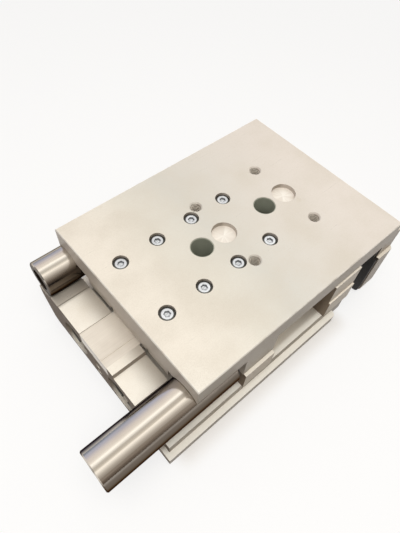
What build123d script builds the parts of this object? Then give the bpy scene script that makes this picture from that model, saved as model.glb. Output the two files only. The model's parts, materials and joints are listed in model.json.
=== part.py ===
"""Twin-piston pneumatic mini slide: a housing with two cylinder bores and a
ball rail, and a table carried on a recirculating ball carriage. Millimetres.
X runs along the travel, the table extends towards +X, Z is up. The origin is
on the mounting face, under the middle of the housing."""
from build123d import *
import os
from math import cos, sin, radians, sqrt

# Travel: the table is drawn a little before its rear stop
RETRACT_TRAVEL = 3.3
EXTEND_TRAVEL = 36.5
STOP_GAP = 0.2

# Running and assembly clearances
FIT = 0.03
SLIDE_FIT = 0.05
AIR_GAP = 0.6

# Table plate
TABLE_WIDTH = 98.8
TABLE_THICK = 12.0
TABLE_TOP = 51.0
TABLE_SETBACK = 16.6
TABLE_BREAK = 0.4
SKIRT_INSET = 1.5
SKIRT_THICK = 3.0
SKIRT_LIFT = 0.4
NOTCH_RISE = 2.6
RAIL_NOTCH = 1.8
SHELF_NOTCH = 1.4
LUG_INSET = 2.5

# Pattern of table screws that hold the carriage
TABLE_SCREW_FIRST = 12.2
TABLE_SCREW_PITCH = 20.0
TABLE_SCREW_ROWS = 4
TABLE_SCREW_Y = 16.0
TABLE_SCREW_GRIP = 7.5
TABLE_SCREW_SINK = 0.9

# User interface on the table
THREAD_FIRST = 58.4
THREAD_PITCH = 40.0
THREAD_TAP_R = 2.55
THREAD_CHAMFER = 0.6
LOCATOR_R = 6.0
LOCATOR_DEPTH = 2.4
ACCESS_R = 5.5
ACCESS_LEAD = 13.5

# Housing
HOUSING_LENGTH = 120.0
BASE_FRONT_Y = 53.0
BASE_REAR_Y = 37.5
FLANGE_THICK = 5.5
FLANGE_SHORT = 8.2
FLANGE_CORNER = 2.4
LEDGE_INSET = 3.0
LEDGE_TOP = 12.5
LEDGE_SETBACK = 2.2
CORE_HALF = 30.5
LOW_DECK = 21.5
DECK_TOP = 28.0
DECK_LENGTH = 17.2
SHELF_DROP = 2.2
SHELF_Y = 15.4
DECK_REAR_Y = 28.0
REAR_SIDE_Y = 46.3
REAR_TAPER_TOP = 18.0
REAR_TAPER_FOOT = 40.6
REAR_FOOT_RISE = 2.0
SHELF_SLANT = 0.6
DECK_LIP_RUN = 1.2
DECK_LIP_DROP = 1.0
TROUGH_EDGE = 35.0
TROUGH_LIP = 1.0
SIDE_BLOCK_LENGTH = 19.0
REAR_BLOCK_LENGTH = 15.9
REAR_BLOCK_RISE = 3.0
SIDE_BLOCK_GAP = 0.8
SIDE_STEP_Z = 24.8
SIDE_STEP = 0.8
SIDE_PROUD = 0.7
WALL_BLOCK_LENGTH = 18.0
WALL_BLOCK_LEAD = 0.6
BLOCK_SCREW_GRIP = 8.0
BLOCK_SCREW_IN = 4.5
BLOCK_SCREW_PITCH = 8.0
FRONT_SCREW_Y = 41.5
REAR_SCREW_Y = 33.5

# Guide rail and ball carriage
RAIL_WIDTH = 20.8
RAIL_SEAT = 19.5
RAIL_LAND_HALF = 6.2
RAIL_LAND_STEP = 0.3
BALL_R = 2.0
BALL_OFFSET = 0.55
BALL_Z = 24.9
BALLS_PER_ROW = 10
BALL_PITCH = 5.2
CARRIAGE_LEAD = 4.2
CARRIAGE_TAIL = 5.0
CARRIAGE_HALF = 29.5
CARRIAGE_CAP_T = 2.8
RETURN_R = 2.2
RETURN_Y = 20.5
RAIL_BREAK = 0.3
RAIL_SCREW_COUNT = 4
RAIL_SCREW_GRIP = 6.0
CAP_SCREW_GRIP = 7.0
CAP_SCREW_OUT = 4.0
CAP_SCREW_RISE = 0.345
CAP_HEAD = 0.5
CAP_SHY = 0.5
CAP_RAIL_GAP = 0.2

# Pneumatic drive
BORE_R = 8.0
BORE_Y = 18.0
BORE_Z = 11.2
CAP_R = 9.4
CAP_THICK = 7.0
CAP_SINK = 2.6
RING_THICK = 1.2
RING_GROOVE = 0.8
RING_REACH = 1.8
RING_MOUTH = 2.2
CAP_SEAL_STATION = 2.6
CAP_RECESS = 1.5
PISTON_LENGTH = 24.0
ROD_R = 4.0
ROD_SPIGOT = 3.0
ROD_SOCKET = 10.0
ROD_SCREW_LENGTH = 14.0
PISTON_BREAK = 0.5
GROOVE_DEPTH = 1.6
SEAL_WIDTH = 2.4
SEAL_STATIONS = (3.0, 18.6)
MAGNET_STATION = 9.5
MAGNET_WIDTH = 5.0
BUSH_R = 5.5
BUSH_LENGTH = 20.0
SEAL_SEAT_R = 7.0
SEAL_SEAT_DEPTH = 10.0
ROD_SEAL_WIDTH = 4.5
SEAL_SPACE = 0.2
SEAL_LIP = 0.8
WIPER_LIP = 0.6
LIP_DEPTH = 1.4
LIP_WIDTH = 1.2
GLAND_PLATE_T = 4.0
GLAND_SIDE = 4.5
GLAND_RIM = 2.0
GLAND_SCREW_IN = 3.4
GLAND_SCREW_Z = 5.2
GLAND_SCREW_LENGTH = 10.0
GLAND_HEAD_PROUD = 0.4
PORT_R = 2.1
PORT_DEPTH = 9.0
PORT_LOW_Z = 5.0
PORT_HIGH_Z = 11.5
AIRWAY_R = 1.0
AIRWAY_STEP = 1.6

# Stop sleeves
SLEEVE_R = 9.0
SLEEVE_BORE_R = 5.5
SLEEVE_Y = 42.4
SLEEVE_DROP = 5.8
SLEEVE_OVERHANG = 43.4
SLEEVE_BREAK = 0.5
REAR_SLEEVE_START = 0.5
BUFFER_HEAD_R = 7.6
BUFFER_PROUD = 1.5
BUFFER_DEPTH = 16.0
PLUG_SINK = 1.2
PLUG_LENGTH = 8.0
PLUG_SOCKET_R = 2.9
PLUG_SOCKET_DEPTH = 4.0
LUG_LENGTH = 18.6
SADDLE_LEAD = 3.0
SADDLE_LENGTH = 18.0
SADDLE_FOOT_Y = 45.0
SADDLE_RISE = 1.5
HOLDER_LEAD = 14.0
HOLDER_LENGTH = 20.0
HOLDER_WALL = 5.4
HOLDER_SIDE_GAP = 1.0
SET_SCREW_SOCKET_R = 1.4
SET_SCREW_SOCKET = 2.4

# Yoke
YOKE_GAP = 16.8
YOKE_THICK = 12.7
YOKE_PAST = 3.8
YOKE_DROP = 6.0
YOKE_BREAK = 1.2
YOKE_WIDTH = 102.0
YOKE_LIFT = 0.5
YOKE_STEP = 8.0
YOKE_CORNER = 3.0
YOKE_FOOT_BREAK = 2.0
YOKE_SCREW_Y = (-38.0, -27.0, 27.0, 38.0)
YOKE_SCREW_GRIP = 8.0
YOKE_SCREW_LENGTH = 26.0
PAD_THICK = 2.0
PAD_MARGIN = 0.6

# Screws: head radius, head height, shank radius, socket radius
M3 = (2.75, 3.0, 1.5, 1.25)
M4 = (3.45, 4.0, 2.0, 1.5)
M5 = (4.25, 5.0, 2.5, 2.0)
HEAD_ROOM = 0.25
HEAD_SINK = 0.5
END_ROOM = 0.5
OVERCUT = 1.0
PICK = 0.1
HEAD_EDGE = 0.09
SHANK_EDGE = 0.25
SOCKET_SHARE = 0.55
SCREW_SHARES = (0.25, 0.75)
MOUNT_TAP_R = 2.55
MOUNT_DEPTH = 9.0
MOUNT_PITCH_X = 80.0
MOUNT_PITCH_Y = 64.0

# Stations along X worked out from the values above
HOUSING_REAR = -HOUSING_LENGTH / 2
HOUSING_FRONT = HOUSING_LENGTH / 2
TABLE_REAR = HOUSING_REAR + TABLE_SETBACK
YOKE_REAR = HOUSING_FRONT + YOKE_GAP
YOKE_FRONT = YOKE_REAR + YOKE_THICK
TABLE_FRONT = YOKE_FRONT - YOKE_PAST
TABLE_UNDER = TABLE_TOP - TABLE_THICK
TABLE_HALF = TABLE_WIDTH / 2
DECK_FRONT = HOUSING_REAR + DECK_LENGTH
CARRIAGE_REAR = TABLE_REAR + TABLE_SCREW_FIRST - CARRIAGE_LEAD
TABLE_SCREW_LAST = TABLE_SCREW_FIRST + TABLE_SCREW_PITCH * (TABLE_SCREW_ROWS - 1)
CARRIAGE_FRONT = TABLE_REAR + TABLE_SCREW_LAST + CARRIAGE_TAIL
RAIL_HALF = RAIL_WIDTH / 2
RAIL_TOP = DECK_TOP
REAR_BLOCK_REAR = HOUSING_FRONT - REAR_BLOCK_LENGTH
REAR_SLEEVE_REAR = HOUSING_REAR + REAR_SLEEVE_START
REAR_SLEEVE_FRONT = REAR_BLOCK_REAR - STOP_GAP - EXTEND_TRAVEL - BUFFER_PROUD
SLEEVE_LENGTH = REAR_SLEEVE_FRONT - REAR_SLEEVE_REAR
SLEEVE_Z = TABLE_UNDER - SLEEVE_DROP
FRONT_SLEEVE_REAR = TABLE_REAR - SLEEVE_OVERHANG
FRONT_SLEEVE_FRONT = FRONT_SLEEVE_REAR + SLEEVE_LENGTH
LUG_REAR = FRONT_SLEEVE_FRONT + BUFFER_PROUD + RETRACT_TRAVEL + STOP_GAP
LUG_FRONT = LUG_REAR + LUG_LENGTH
FRONT_BLOCK_REAR = HOUSING_FRONT - SIDE_BLOCK_LENGTH
LEDGE_Y = BASE_FRONT_Y - LEDGE_INSET
SHELF_TOP = DECK_TOP - SHELF_DROP
CARRIAGE_BOTTOM = LOW_DECK + AIR_GAP
CARRIAGE_ROOF = RAIL_TOP + AIR_GAP
CAP_FACE = HOUSING_REAR + CAP_SINK
BORE_REAR = CAP_FACE + CAP_THICK
PISTON_REAR = BORE_REAR + RETRACT_TRAVEL + AIR_GAP
PISTON_FRONT = PISTON_REAR + PISTON_LENGTH
BORE_FRONT = PISTON_FRONT + EXTEND_TRAVEL + AIR_GAP
BUSH_FRONT = HOUSING_FRONT - SEAL_SEAT_DEPTH
BORE_SIDES = (-BORE_Y, BORE_Y)
WIPER_START = ROD_SEAL_WIDTH + 2 * SEAL_SPACE
WIPER_WIDTH = SEAL_SEAT_DEPTH - WIPER_START - SEAL_SPACE
YOKE_HALF = YOKE_WIDTH / 2
YOKE_STEP_Z = TABLE_UNDER - YOKE_STEP
YOKE_SCREW_X = (YOKE_REAR + TABLE_FRONT) / 2
YOKE_SCREW_SEAT = TABLE_UNDER + YOKE_SCREW_GRIP - YOKE_SCREW_LENGTH
ROD_SCREW_X = YOKE_FRONT - M5[1] - HEAD_SINK
SADDLE_SCREW_Z = M4[1] + HEAD_SINK
BLOCK_SCREW_Z = SADDLE_SCREW_Z
BLOCK_SCREW_LENGTH = LEDGE_TOP + BLOCK_SCREW_GRIP - BLOCK_SCREW_Z
SADDLE_SCREW_LENGTH = SLEEVE_Z - SLEEVE_BORE_R - AIR_GAP - SADDLE_SCREW_Z
HOLDER_FOOT = SLEEVE_Z - SLEEVE_R - HOLDER_WALL
GLAND_SEAT = HOUSING_FRONT + GLAND_PLATE_T - M3[1] + GLAND_HEAD_PROUD


def block(x0, x1, y0, y1, z0, z1):
    """Rectangular solid between two corners."""
    return Pos((x0 + x1) / 2, (y0 + y1) / 2, (z0 + z1) / 2) * Box(x1 - x0, y1 - y0, z1 - z0)


def rod_x(radius, x0, x1, y, z):
    """Cylinder along X."""
    return Pos((x0 + x1) / 2, y, z) * Rot(0, 90, 0) * Cylinder(radius, x1 - x0)


def rod_z(radius, z0, z1, x, y):
    """Cylinder along Z."""
    return Pos(x, y, (z0 + z1) / 2) * Cylinder(radius, z1 - z0)


def ring_x(outer, inner, x0, x1, y, z):
    """Plain ring along X."""
    return rod_x(outer, x0, x1, y, z) - rod_x(inner, x0 - OVERCUT, x1 + OVERCUT, y, z)


def section(points, x0, x1):
    """Extrusion along X of a closed outline given as (y, z) points."""
    wire = Polyline(*[(x0, y, z) for y, z in points], close=True)
    return extrude(make_face(wire), amount=x1 - x0, dir=(1, 0, 0))


def cap_screw(size, length):
    """Socket head cap screw, its head's underside at the origin and its shank down."""
    head_r, head_h, shank_r, socket_r = size
    head = Pos(0, 0, head_h / 2) * Cylinder(head_r, head_h)
    head = chamfer(head.edges().group_by(Axis.Z)[-1], head_r * HEAD_EDGE)
    shank = Pos(0, 0, -length / 2) * Cylinder(shank_r - FIT, length)
    shank = chamfer(shank.edges().group_by(Axis.Z)[0], shank_r * SHANK_EDGE)
    socket = extrude(Pos(0, 0, head_h) * RegularPolygon(socket_r, 6), amount=-head_h * SOCKET_SHARE)
    return head + shank - socket


def screw_hole(size, length, sink):
    """Clearance for a cap screw in the same pose, with a counterbore sink deep above its head."""
    head_r, head_h, shank_r, _ = size
    bore = Pos(0, 0, (head_h + sink) / 2) * Cylinder(head_r + HEAD_ROOM, head_h + sink)
    return bore + Pos(0, 0, -length / 2) * Cylinder(shank_r, length)


def fuse(solids):
    """Group of separate solids as one compound."""
    return Compound(children=list(solids))


# Places of repeated features
TABLE_SCREW_SPOTS = [
    (TABLE_REAR + TABLE_SCREW_FIRST + TABLE_SCREW_PITCH * i, side * TABLE_SCREW_Y)
    for i in range(TABLE_SCREW_ROWS)
    for side in (-1, 1)
]
THREAD_SPOTS = [
    (TABLE_REAR + THREAD_FIRST + THREAD_PITCH * i, side * THREAD_PITCH / 2)
    for i in (0, 1)
    for side in (-1, 1)
]
LOCATOR_X = [TABLE_REAR + THREAD_FIRST + THREAD_PITCH * i for i in (0, 1)]
ACCESS_X = [x - ACCESS_LEAD for x in LOCATOR_X]
RAIL_SCREW_PITCH = HOUSING_LENGTH / (RAIL_SCREW_COUNT + 1)
RAIL_SCREW_X = [RAIL_SCREW_PITCH * (i - (RAIL_SCREW_COUNT - 1) / 2) for i in range(RAIL_SCREW_COUNT)]
BALL_X = [
    (CARRIAGE_REAR + CARRIAGE_FRONT) / 2 + BALL_PITCH * (i - (BALLS_PER_ROW - 1) / 2)
    for i in range(BALLS_PER_ROW)
]
BALL_Y = RAIL_HALF + BALL_OFFSET
SADDLE_REAR = TABLE_REAR + SADDLE_LEAD
SADDLE_SCREW_X = [SADDLE_REAR + SADDLE_LENGTH * share for share in SCREW_SHARES]
WALL_SCREW_X = [LUG_REAR + WALL_BLOCK_LEAD + WALL_BLOCK_LENGTH * share for share in SCREW_SHARES]
CORNER_SCREW_X = [HOUSING_FRONT - BLOCK_SCREW_IN - BLOCK_SCREW_PITCH * i for i in (0, 1)]
STOP_SCREW_X = [HOUSING_FRONT - BLOCK_SCREW_IN - BLOCK_SCREW_PITCH * i for i in (0, 1)]
HOLDER_REAR = TABLE_REAR + HOLDER_LEAD
HOLDER_SCREW_X = [HOLDER_REAR + HOLDER_LENGTH * share for share in SCREW_SHARES]
MOUNT_SPOTS = [
    (sx * MOUNT_PITCH_X / 2, sy * MOUNT_PITCH_Y / 2) for sx in (-1, 1) for sy in (-1, 1)
]
CAP_SCREW_Z = CARRIAGE_ROOF + CAP_SCREW_RISE * (TABLE_UNDER - CARRIAGE_ROOF)
CAP_SCREW_SPOTS = [(side * (RETURN_Y + CAP_SCREW_OUT), CAP_SCREW_Z) for side in (-1, 1)]
GLAND_HALF_Y = BORE_Y + SEAL_SEAT_R + GLAND_SIDE
GLAND_LOW = BORE_Z - SEAL_SEAT_R - GLAND_RIM
GLAND_HIGH = BORE_Z + SEAL_SEAT_R + GLAND_RIM
GLAND_SPOTS = [
    (sy * (GLAND_HALF_Y - GLAND_SCREW_IN), BORE_Z + sz * GLAND_SCREW_Z)
    for sy in (-1, 1)
    for sz in (-1, 1)
]


def housing_blank():
    """Extruded base with flange, ledge and core, the raised rear deck and the side blocks."""
    taper = (REAR_SIDE_Y - REAR_TAPER_FOOT) / REAR_TAPER_TOP
    rear_at_ledge = REAR_TAPER_FOOT + taper * LEDGE_TOP
    foot = [
        (-BASE_FRONT_Y, 0),
        (-BASE_FRONT_Y, FLANGE_THICK),
        (-LEDGE_Y, FLANGE_THICK),
        (-LEDGE_Y, LEDGE_TOP),
        (-CORE_HALF, LEDGE_TOP),
    ]
    rear_side = [(rear_at_ledge, LEDGE_TOP), (REAR_TAPER_FOOT, REAR_FOOT_RISE), (BASE_REAR_Y, 0)]
    core = [(-CORE_HALF, LOW_DECK), (CORE_HALF, LOW_DECK), (CORE_HALF, LEDGE_TOP)]
    body = section(foot + core + rear_side, HOUSING_REAR, HOUSING_FRONT)

    trough_r = SLEEVE_R + AIR_GAP
    lip = sqrt(trough_r ** 2 - (REAR_SIDE_Y - SLEEVE_Y) ** 2)
    deck = [
        (-CORE_HALF, LEDGE_TOP),
        (-CORE_HALF, SHELF_TOP),
        (-SHELF_Y, SHELF_TOP),
        (-SHELF_Y + SHELF_SLANT, DECK_TOP),
        (DECK_REAR_Y, DECK_TOP),
        (DECK_REAR_Y + DECK_LIP_RUN, DECK_TOP - DECK_LIP_DROP),
        (SLEEVE_Y - trough_r * cos(radians(TROUGH_EDGE)), DECK_TOP - DECK_LIP_DROP),
        (REAR_SIDE_Y, SLEEVE_Z - lip + TROUGH_LIP),
        (REAR_SIDE_Y, REAR_TAPER_TOP),
        (rear_at_ledge, LEDGE_TOP),
    ]
    body += section(deck, HOUSING_REAR, DECK_FRONT)
    body -= rod_x(trough_r, HOUSING_REAR - OVERCUT, DECK_FRONT + OVERCUT, SLEEVE_Y, SLEEVE_Z)
    body -= block(
        HOUSING_REAR - OVERCUT, HOUSING_REAR + LEDGE_SETBACK,
        -BASE_FRONT_Y - OVERCUT, -CORE_HALF, FLANGE_THICK, LEDGE_TOP + OVERCUT,
    )
    flange_end = HOUSING_FRONT - FLANGE_SHORT
    body -= block(
        flange_end, HOUSING_FRONT + OVERCUT,
        -BASE_FRONT_Y - OVERCUT, -LEDGE_Y, -OVERCUT, FLANGE_THICK + OVERCUT,
    )
    corner = body.edges().filter_by(Axis.Z).filter_by_position(Axis.X, flange_end - PICK, flange_end + PICK)
    corner = corner.filter_by_position(Axis.Y, -BASE_FRONT_Y - PICK, -BASE_FRONT_Y + PICK)
    return fillet(corner, FLANGE_CORNER)


def side_block(side, x0, x1, top):
    """Side wall on the ledge with the small step that runs along its outer face."""
    upper = TABLE_HALF + (SIDE_PROUD if top > SIDE_STEP_Z else SIDE_STEP)
    outline = [
        (CORE_HALF, LEDGE_TOP),
        (TABLE_HALF + SIDE_STEP + SIDE_PROUD, LEDGE_TOP),
        (TABLE_HALF + SIDE_STEP + SIDE_PROUD, min(top, SIDE_STEP_Z)),
    ]
    if top > SIDE_STEP_Z:
        outline += [(upper, SIDE_STEP_Z), (upper, top)]
    outline.append((CORE_HALF, top))
    return section([(side * y, z) for y, z in outline], x0, x1)


def make_side_wall():
    """Low wall on the ledge under the table's stop lug."""
    wall_rear = LUG_REAR + WALL_BLOCK_LEAD
    wall = side_block(-1, wall_rear, wall_rear + WALL_BLOCK_LENGTH, SIDE_STEP_Z)
    return wall - screw_row(WALL_SCREW_X, -FRONT_SCREW_Y)


def make_corner_block():
    """Block on the ledge at the front end of the housing."""
    corner = side_block(-1, FRONT_BLOCK_REAR, HOUSING_FRONT, TABLE_UNDER - SIDE_BLOCK_GAP)
    return corner - screw_row(CORNER_SCREW_X, -FRONT_SCREW_Y)


def make_stop_block():
    """Block that the moving sleeve's buffer meets when the table is out."""
    taper = (REAR_SIDE_Y - REAR_TAPER_FOOT) / REAR_TAPER_TOP
    block_top = TABLE_UNDER - SIDE_BLOCK_GAP
    stop = section(
        [
            (CORE_HALF, LEDGE_TOP),
            (REAR_TAPER_FOOT + taper * LEDGE_TOP, LEDGE_TOP),
            (REAR_SIDE_Y, REAR_TAPER_TOP),
            (TABLE_HALF, REAR_TAPER_TOP + REAR_BLOCK_RISE),
            (TABLE_HALF, block_top),
            (CORE_HALF, block_top),
        ],
        REAR_BLOCK_REAR, HOUSING_FRONT,
    )
    return stop - screw_row(STOP_SCREW_X, REAR_SCREW_Y)


def make_saddle():
    """Saddle on the ledge that the fixed sleeve lies in."""
    saddle = section(
        [
            (-SADDLE_FOOT_Y, LEDGE_TOP),
            (-SADDLE_FOOT_Y, SLEEVE_Z - SLEEVE_R + SADDLE_RISE),
            (-SLEEVE_Y, SLEEVE_Z),
            (-CORE_HALF, SLEEVE_Z),
            (-CORE_HALF, LEDGE_TOP),
        ],
        SADDLE_REAR, SADDLE_REAR + SADDLE_LENGTH,
    )
    saddle -= rod_x(SLEEVE_R + FIT, FRONT_SLEEVE_REAR, FRONT_SLEEVE_FRONT + OVERCUT, -SLEEVE_Y, SLEEVE_Z)
    for x in SADDLE_SCREW_X:
        saddle -= rod_z(M4[2], LEDGE_TOP - OVERCUT, SLEEVE_Z, x, -SLEEVE_Y)
    return saddle


def screw_row(stations, y):
    """Room for the block screws at these stations, from the base up into a block."""
    cuts = [
        Pos(x, y, BLOCK_SCREW_Z) * Rot(180, 0, 0) * screw_hole(M4, BLOCK_SCREW_LENGTH + END_ROOM, OVERCUT)
        for x in stations
    ]
    return fuse(cuts)


def make_housing():
    """Aluminium housing with bores, rail slot and fixing holes."""
    body = housing_blank()
    body -= block(
        HOUSING_REAR - OVERCUT, HOUSING_FRONT + OVERCUT,
        -RAIL_HALF - SLIDE_FIT, RAIL_HALF + SLIDE_FIT, RAIL_SEAT, DECK_TOP + OVERCUT,
    )
    for y in BORE_SIDES:
        body -= rod_x(CAP_R, HOUSING_REAR - OVERCUT, BORE_REAR, y, BORE_Z)
        body -= rod_x(BORE_R, BORE_REAR - OVERCUT, BORE_FRONT, y, BORE_Z)
        body -= rod_x(ROD_R + AIR_GAP, BORE_FRONT - OVERCUT, BUSH_FRONT, y, BORE_Z)
        body -= rod_x(BUSH_R, BUSH_FRONT - BUSH_LENGTH, BUSH_FRONT + OVERCUT, y, BORE_Z)
        body -= rod_x(SEAL_SEAT_R, BUSH_FRONT, HOUSING_FRONT + OVERCUT, y, BORE_Z)
        ring_x0 = CAP_FACE - RING_THICK
        body -= rod_x(CAP_R + RING_GROOVE, ring_x0 - FIT, CAP_FACE, y, BORE_Z)
    return body - housing_drillings()


def housing_drillings():
    """Air ports and airways, screw threads and the mounting threads in the base."""
    port_x = HOUSING_REAR + PORT_DEPTH
    rear_cross = BORE_REAR + AIRWAY_STEP
    front_cross = BORE_FRONT - AIRWAY_R
    cuts = rod_x(PORT_R, HOUSING_REAR - OVERCUT, port_x, 0, PORT_LOW_Z)
    cuts += rod_x(PORT_R, HOUSING_REAR - OVERCUT, port_x, 0, PORT_HIGH_Z)
    cuts += rod_x(AIRWAY_R, port_x - OVERCUT, front_cross, 0, PORT_LOW_Z)
    cuts += rod_x(AIRWAY_R, port_x - OVERCUT, rear_cross, 0, PORT_HIGH_Z)
    cross = Rot(90, 0, 0) * Cylinder(AIRWAY_R, 2 * BORE_Y)
    cuts += Pos(front_cross, 0, PORT_LOW_Z) * cross
    cuts += Pos(rear_cross, 0, PORT_HIGH_Z) * cross
    for x in RAIL_SCREW_X:
        cuts += rod_z(M4[2], RAIL_SEAT - RAIL_SCREW_GRIP, RAIL_SEAT + OVERCUT, x, 0)
    for x, y in MOUNT_SPOTS:
        cuts += rod_z(MOUNT_TAP_R, -OVERCUT, MOUNT_DEPTH, x, y)
    for x in SADDLE_SCREW_X:
        hole = Rot(180, 0, 0) * screw_hole(M4, SADDLE_SCREW_LENGTH, OVERCUT)
        cuts += Pos(x, -SLEEVE_Y, SADDLE_SCREW_Z) * hole
    cuts += screw_row(WALL_SCREW_X + CORNER_SCREW_X, -FRONT_SCREW_Y)
    cuts += screw_row(STOP_SCREW_X, REAR_SCREW_Y)
    for y, z in GLAND_SPOTS:
        tap_end = HOUSING_FRONT - GLAND_SCREW_LENGTH + GLAND_PLATE_T
        cuts += rod_x(M3[2], tap_end, HOUSING_FRONT + OVERCUT, y, z)
    return cuts


def make_rail():
    """Ground steel rail with a ball groove along each side and counterbored holes."""
    rail = block(HOUSING_REAR, HOUSING_FRONT, -RAIL_HALF, RAIL_HALF, RAIL_SEAT, RAIL_TOP)
    long_top = rail.edges().filter_by(Axis.X).group_by(Axis.Z)[-1]
    rail = chamfer(long_top, RAIL_BREAK)
    for side in (-1, 1):
        inner, outer = sorted((side * RAIL_LAND_HALF, side * (RAIL_HALF + OVERCUT)))
        rail -= block(
            HOUSING_REAR - OVERCUT, HOUSING_FRONT + OVERCUT,
            inner, outer, RAIL_TOP - RAIL_LAND_STEP, RAIL_TOP + OVERCUT,
        )
        rail -= rod_x(
            BALL_R + SLIDE_FIT, DECK_FRONT, HOUSING_FRONT + OVERCUT, side * BALL_Y, BALL_Z
        )
    for x in RAIL_SCREW_X:
        rail -= Pos(x, 0, RAIL_TOP - M4[1] - HEAD_SINK) * screw_hole(M4, RAIL_TOP, OVERCUT)
    return rail


def make_rail_screws():
    """Screws that hold the rail down, one group."""
    under_head = RAIL_TOP - M4[1] - HEAD_SINK
    length = under_head - RAIL_SEAT + RAIL_SCREW_GRIP - END_ROOM
    return fuse(Pos(x, 0, under_head) * cap_screw(M4, length) for x in RAIL_SCREW_X)


def make_carriage():
    """Ball carriage: an inverted channel over the rail with ball grooves and return bores."""
    outline = [
        (-CARRIAGE_HALF, CARRIAGE_BOTTOM),
        (-BALL_Y - AIR_GAP, CARRIAGE_BOTTOM),
        (-BALL_Y - AIR_GAP, CARRIAGE_ROOF),
        (BALL_Y + AIR_GAP, CARRIAGE_ROOF),
        (BALL_Y + AIR_GAP, CARRIAGE_BOTTOM),
        (CARRIAGE_HALF, CARRIAGE_BOTTOM),
        (CARRIAGE_HALF, TABLE_UNDER),
        (-CARRIAGE_HALF, TABLE_UNDER),
    ]
    body = section(outline, CARRIAGE_REAR, CARRIAGE_FRONT)
    for side in (-1, 1):
        groove = (CARRIAGE_REAR - OVERCUT, CARRIAGE_FRONT + OVERCUT)
        body -= rod_x(BALL_R + SLIDE_FIT, *groove, side * BALL_Y, BALL_Z)
        body -= rod_x(RETURN_R, *groove, side * RETURN_Y, BALL_Z)
    for x, y in TABLE_SCREW_SPOTS:
        body -= rod_z(M4[2], TABLE_UNDER - TABLE_SCREW_GRIP, TABLE_UNDER + OVERCUT, x, y)
    for x, y in CAP_SCREW_SPOTS:
        body -= rod_x(M3[2], CARRIAGE_REAR - OVERCUT, CARRIAGE_REAR + CAP_SCREW_GRIP, x, y)
        body -= rod_x(M3[2], CARRIAGE_FRONT - CAP_SCREW_GRIP, CARRIAGE_FRONT + OVERCUT, x, y)
    for x in ACCESS_X:
        body -= rod_z(ACCESS_R, CARRIAGE_ROOF - OVERCUT, TABLE_UNDER + OVERCUT, x, 0)
    return body


def carriage_cap(x0):
    """End cap of the carriage with the ball return pockets left closed."""
    half = CARRIAGE_HALF - CAP_SHY
    slot = BALL_Y - CAP_RAIL_GAP
    outline = [
        (-half, CARRIAGE_BOTTOM),
        (-slot, CARRIAGE_BOTTOM),
        (-slot, CARRIAGE_ROOF),
        (slot, CARRIAGE_ROOF),
        (slot, CARRIAGE_BOTTOM),
        (half, CARRIAGE_BOTTOM),
        (half, TABLE_UNDER - CAP_SHY),
        (-half, TABLE_UNDER - CAP_SHY),
    ]
    cap = section(outline, x0, x0 + CARRIAGE_CAP_T)
    for y, z in CAP_SCREW_SPOTS:
        cap -= rod_x(M3[2], x0 - OVERCUT, x0 + CARRIAGE_CAP_T + OVERCUT, y, z)
    return cap


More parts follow.
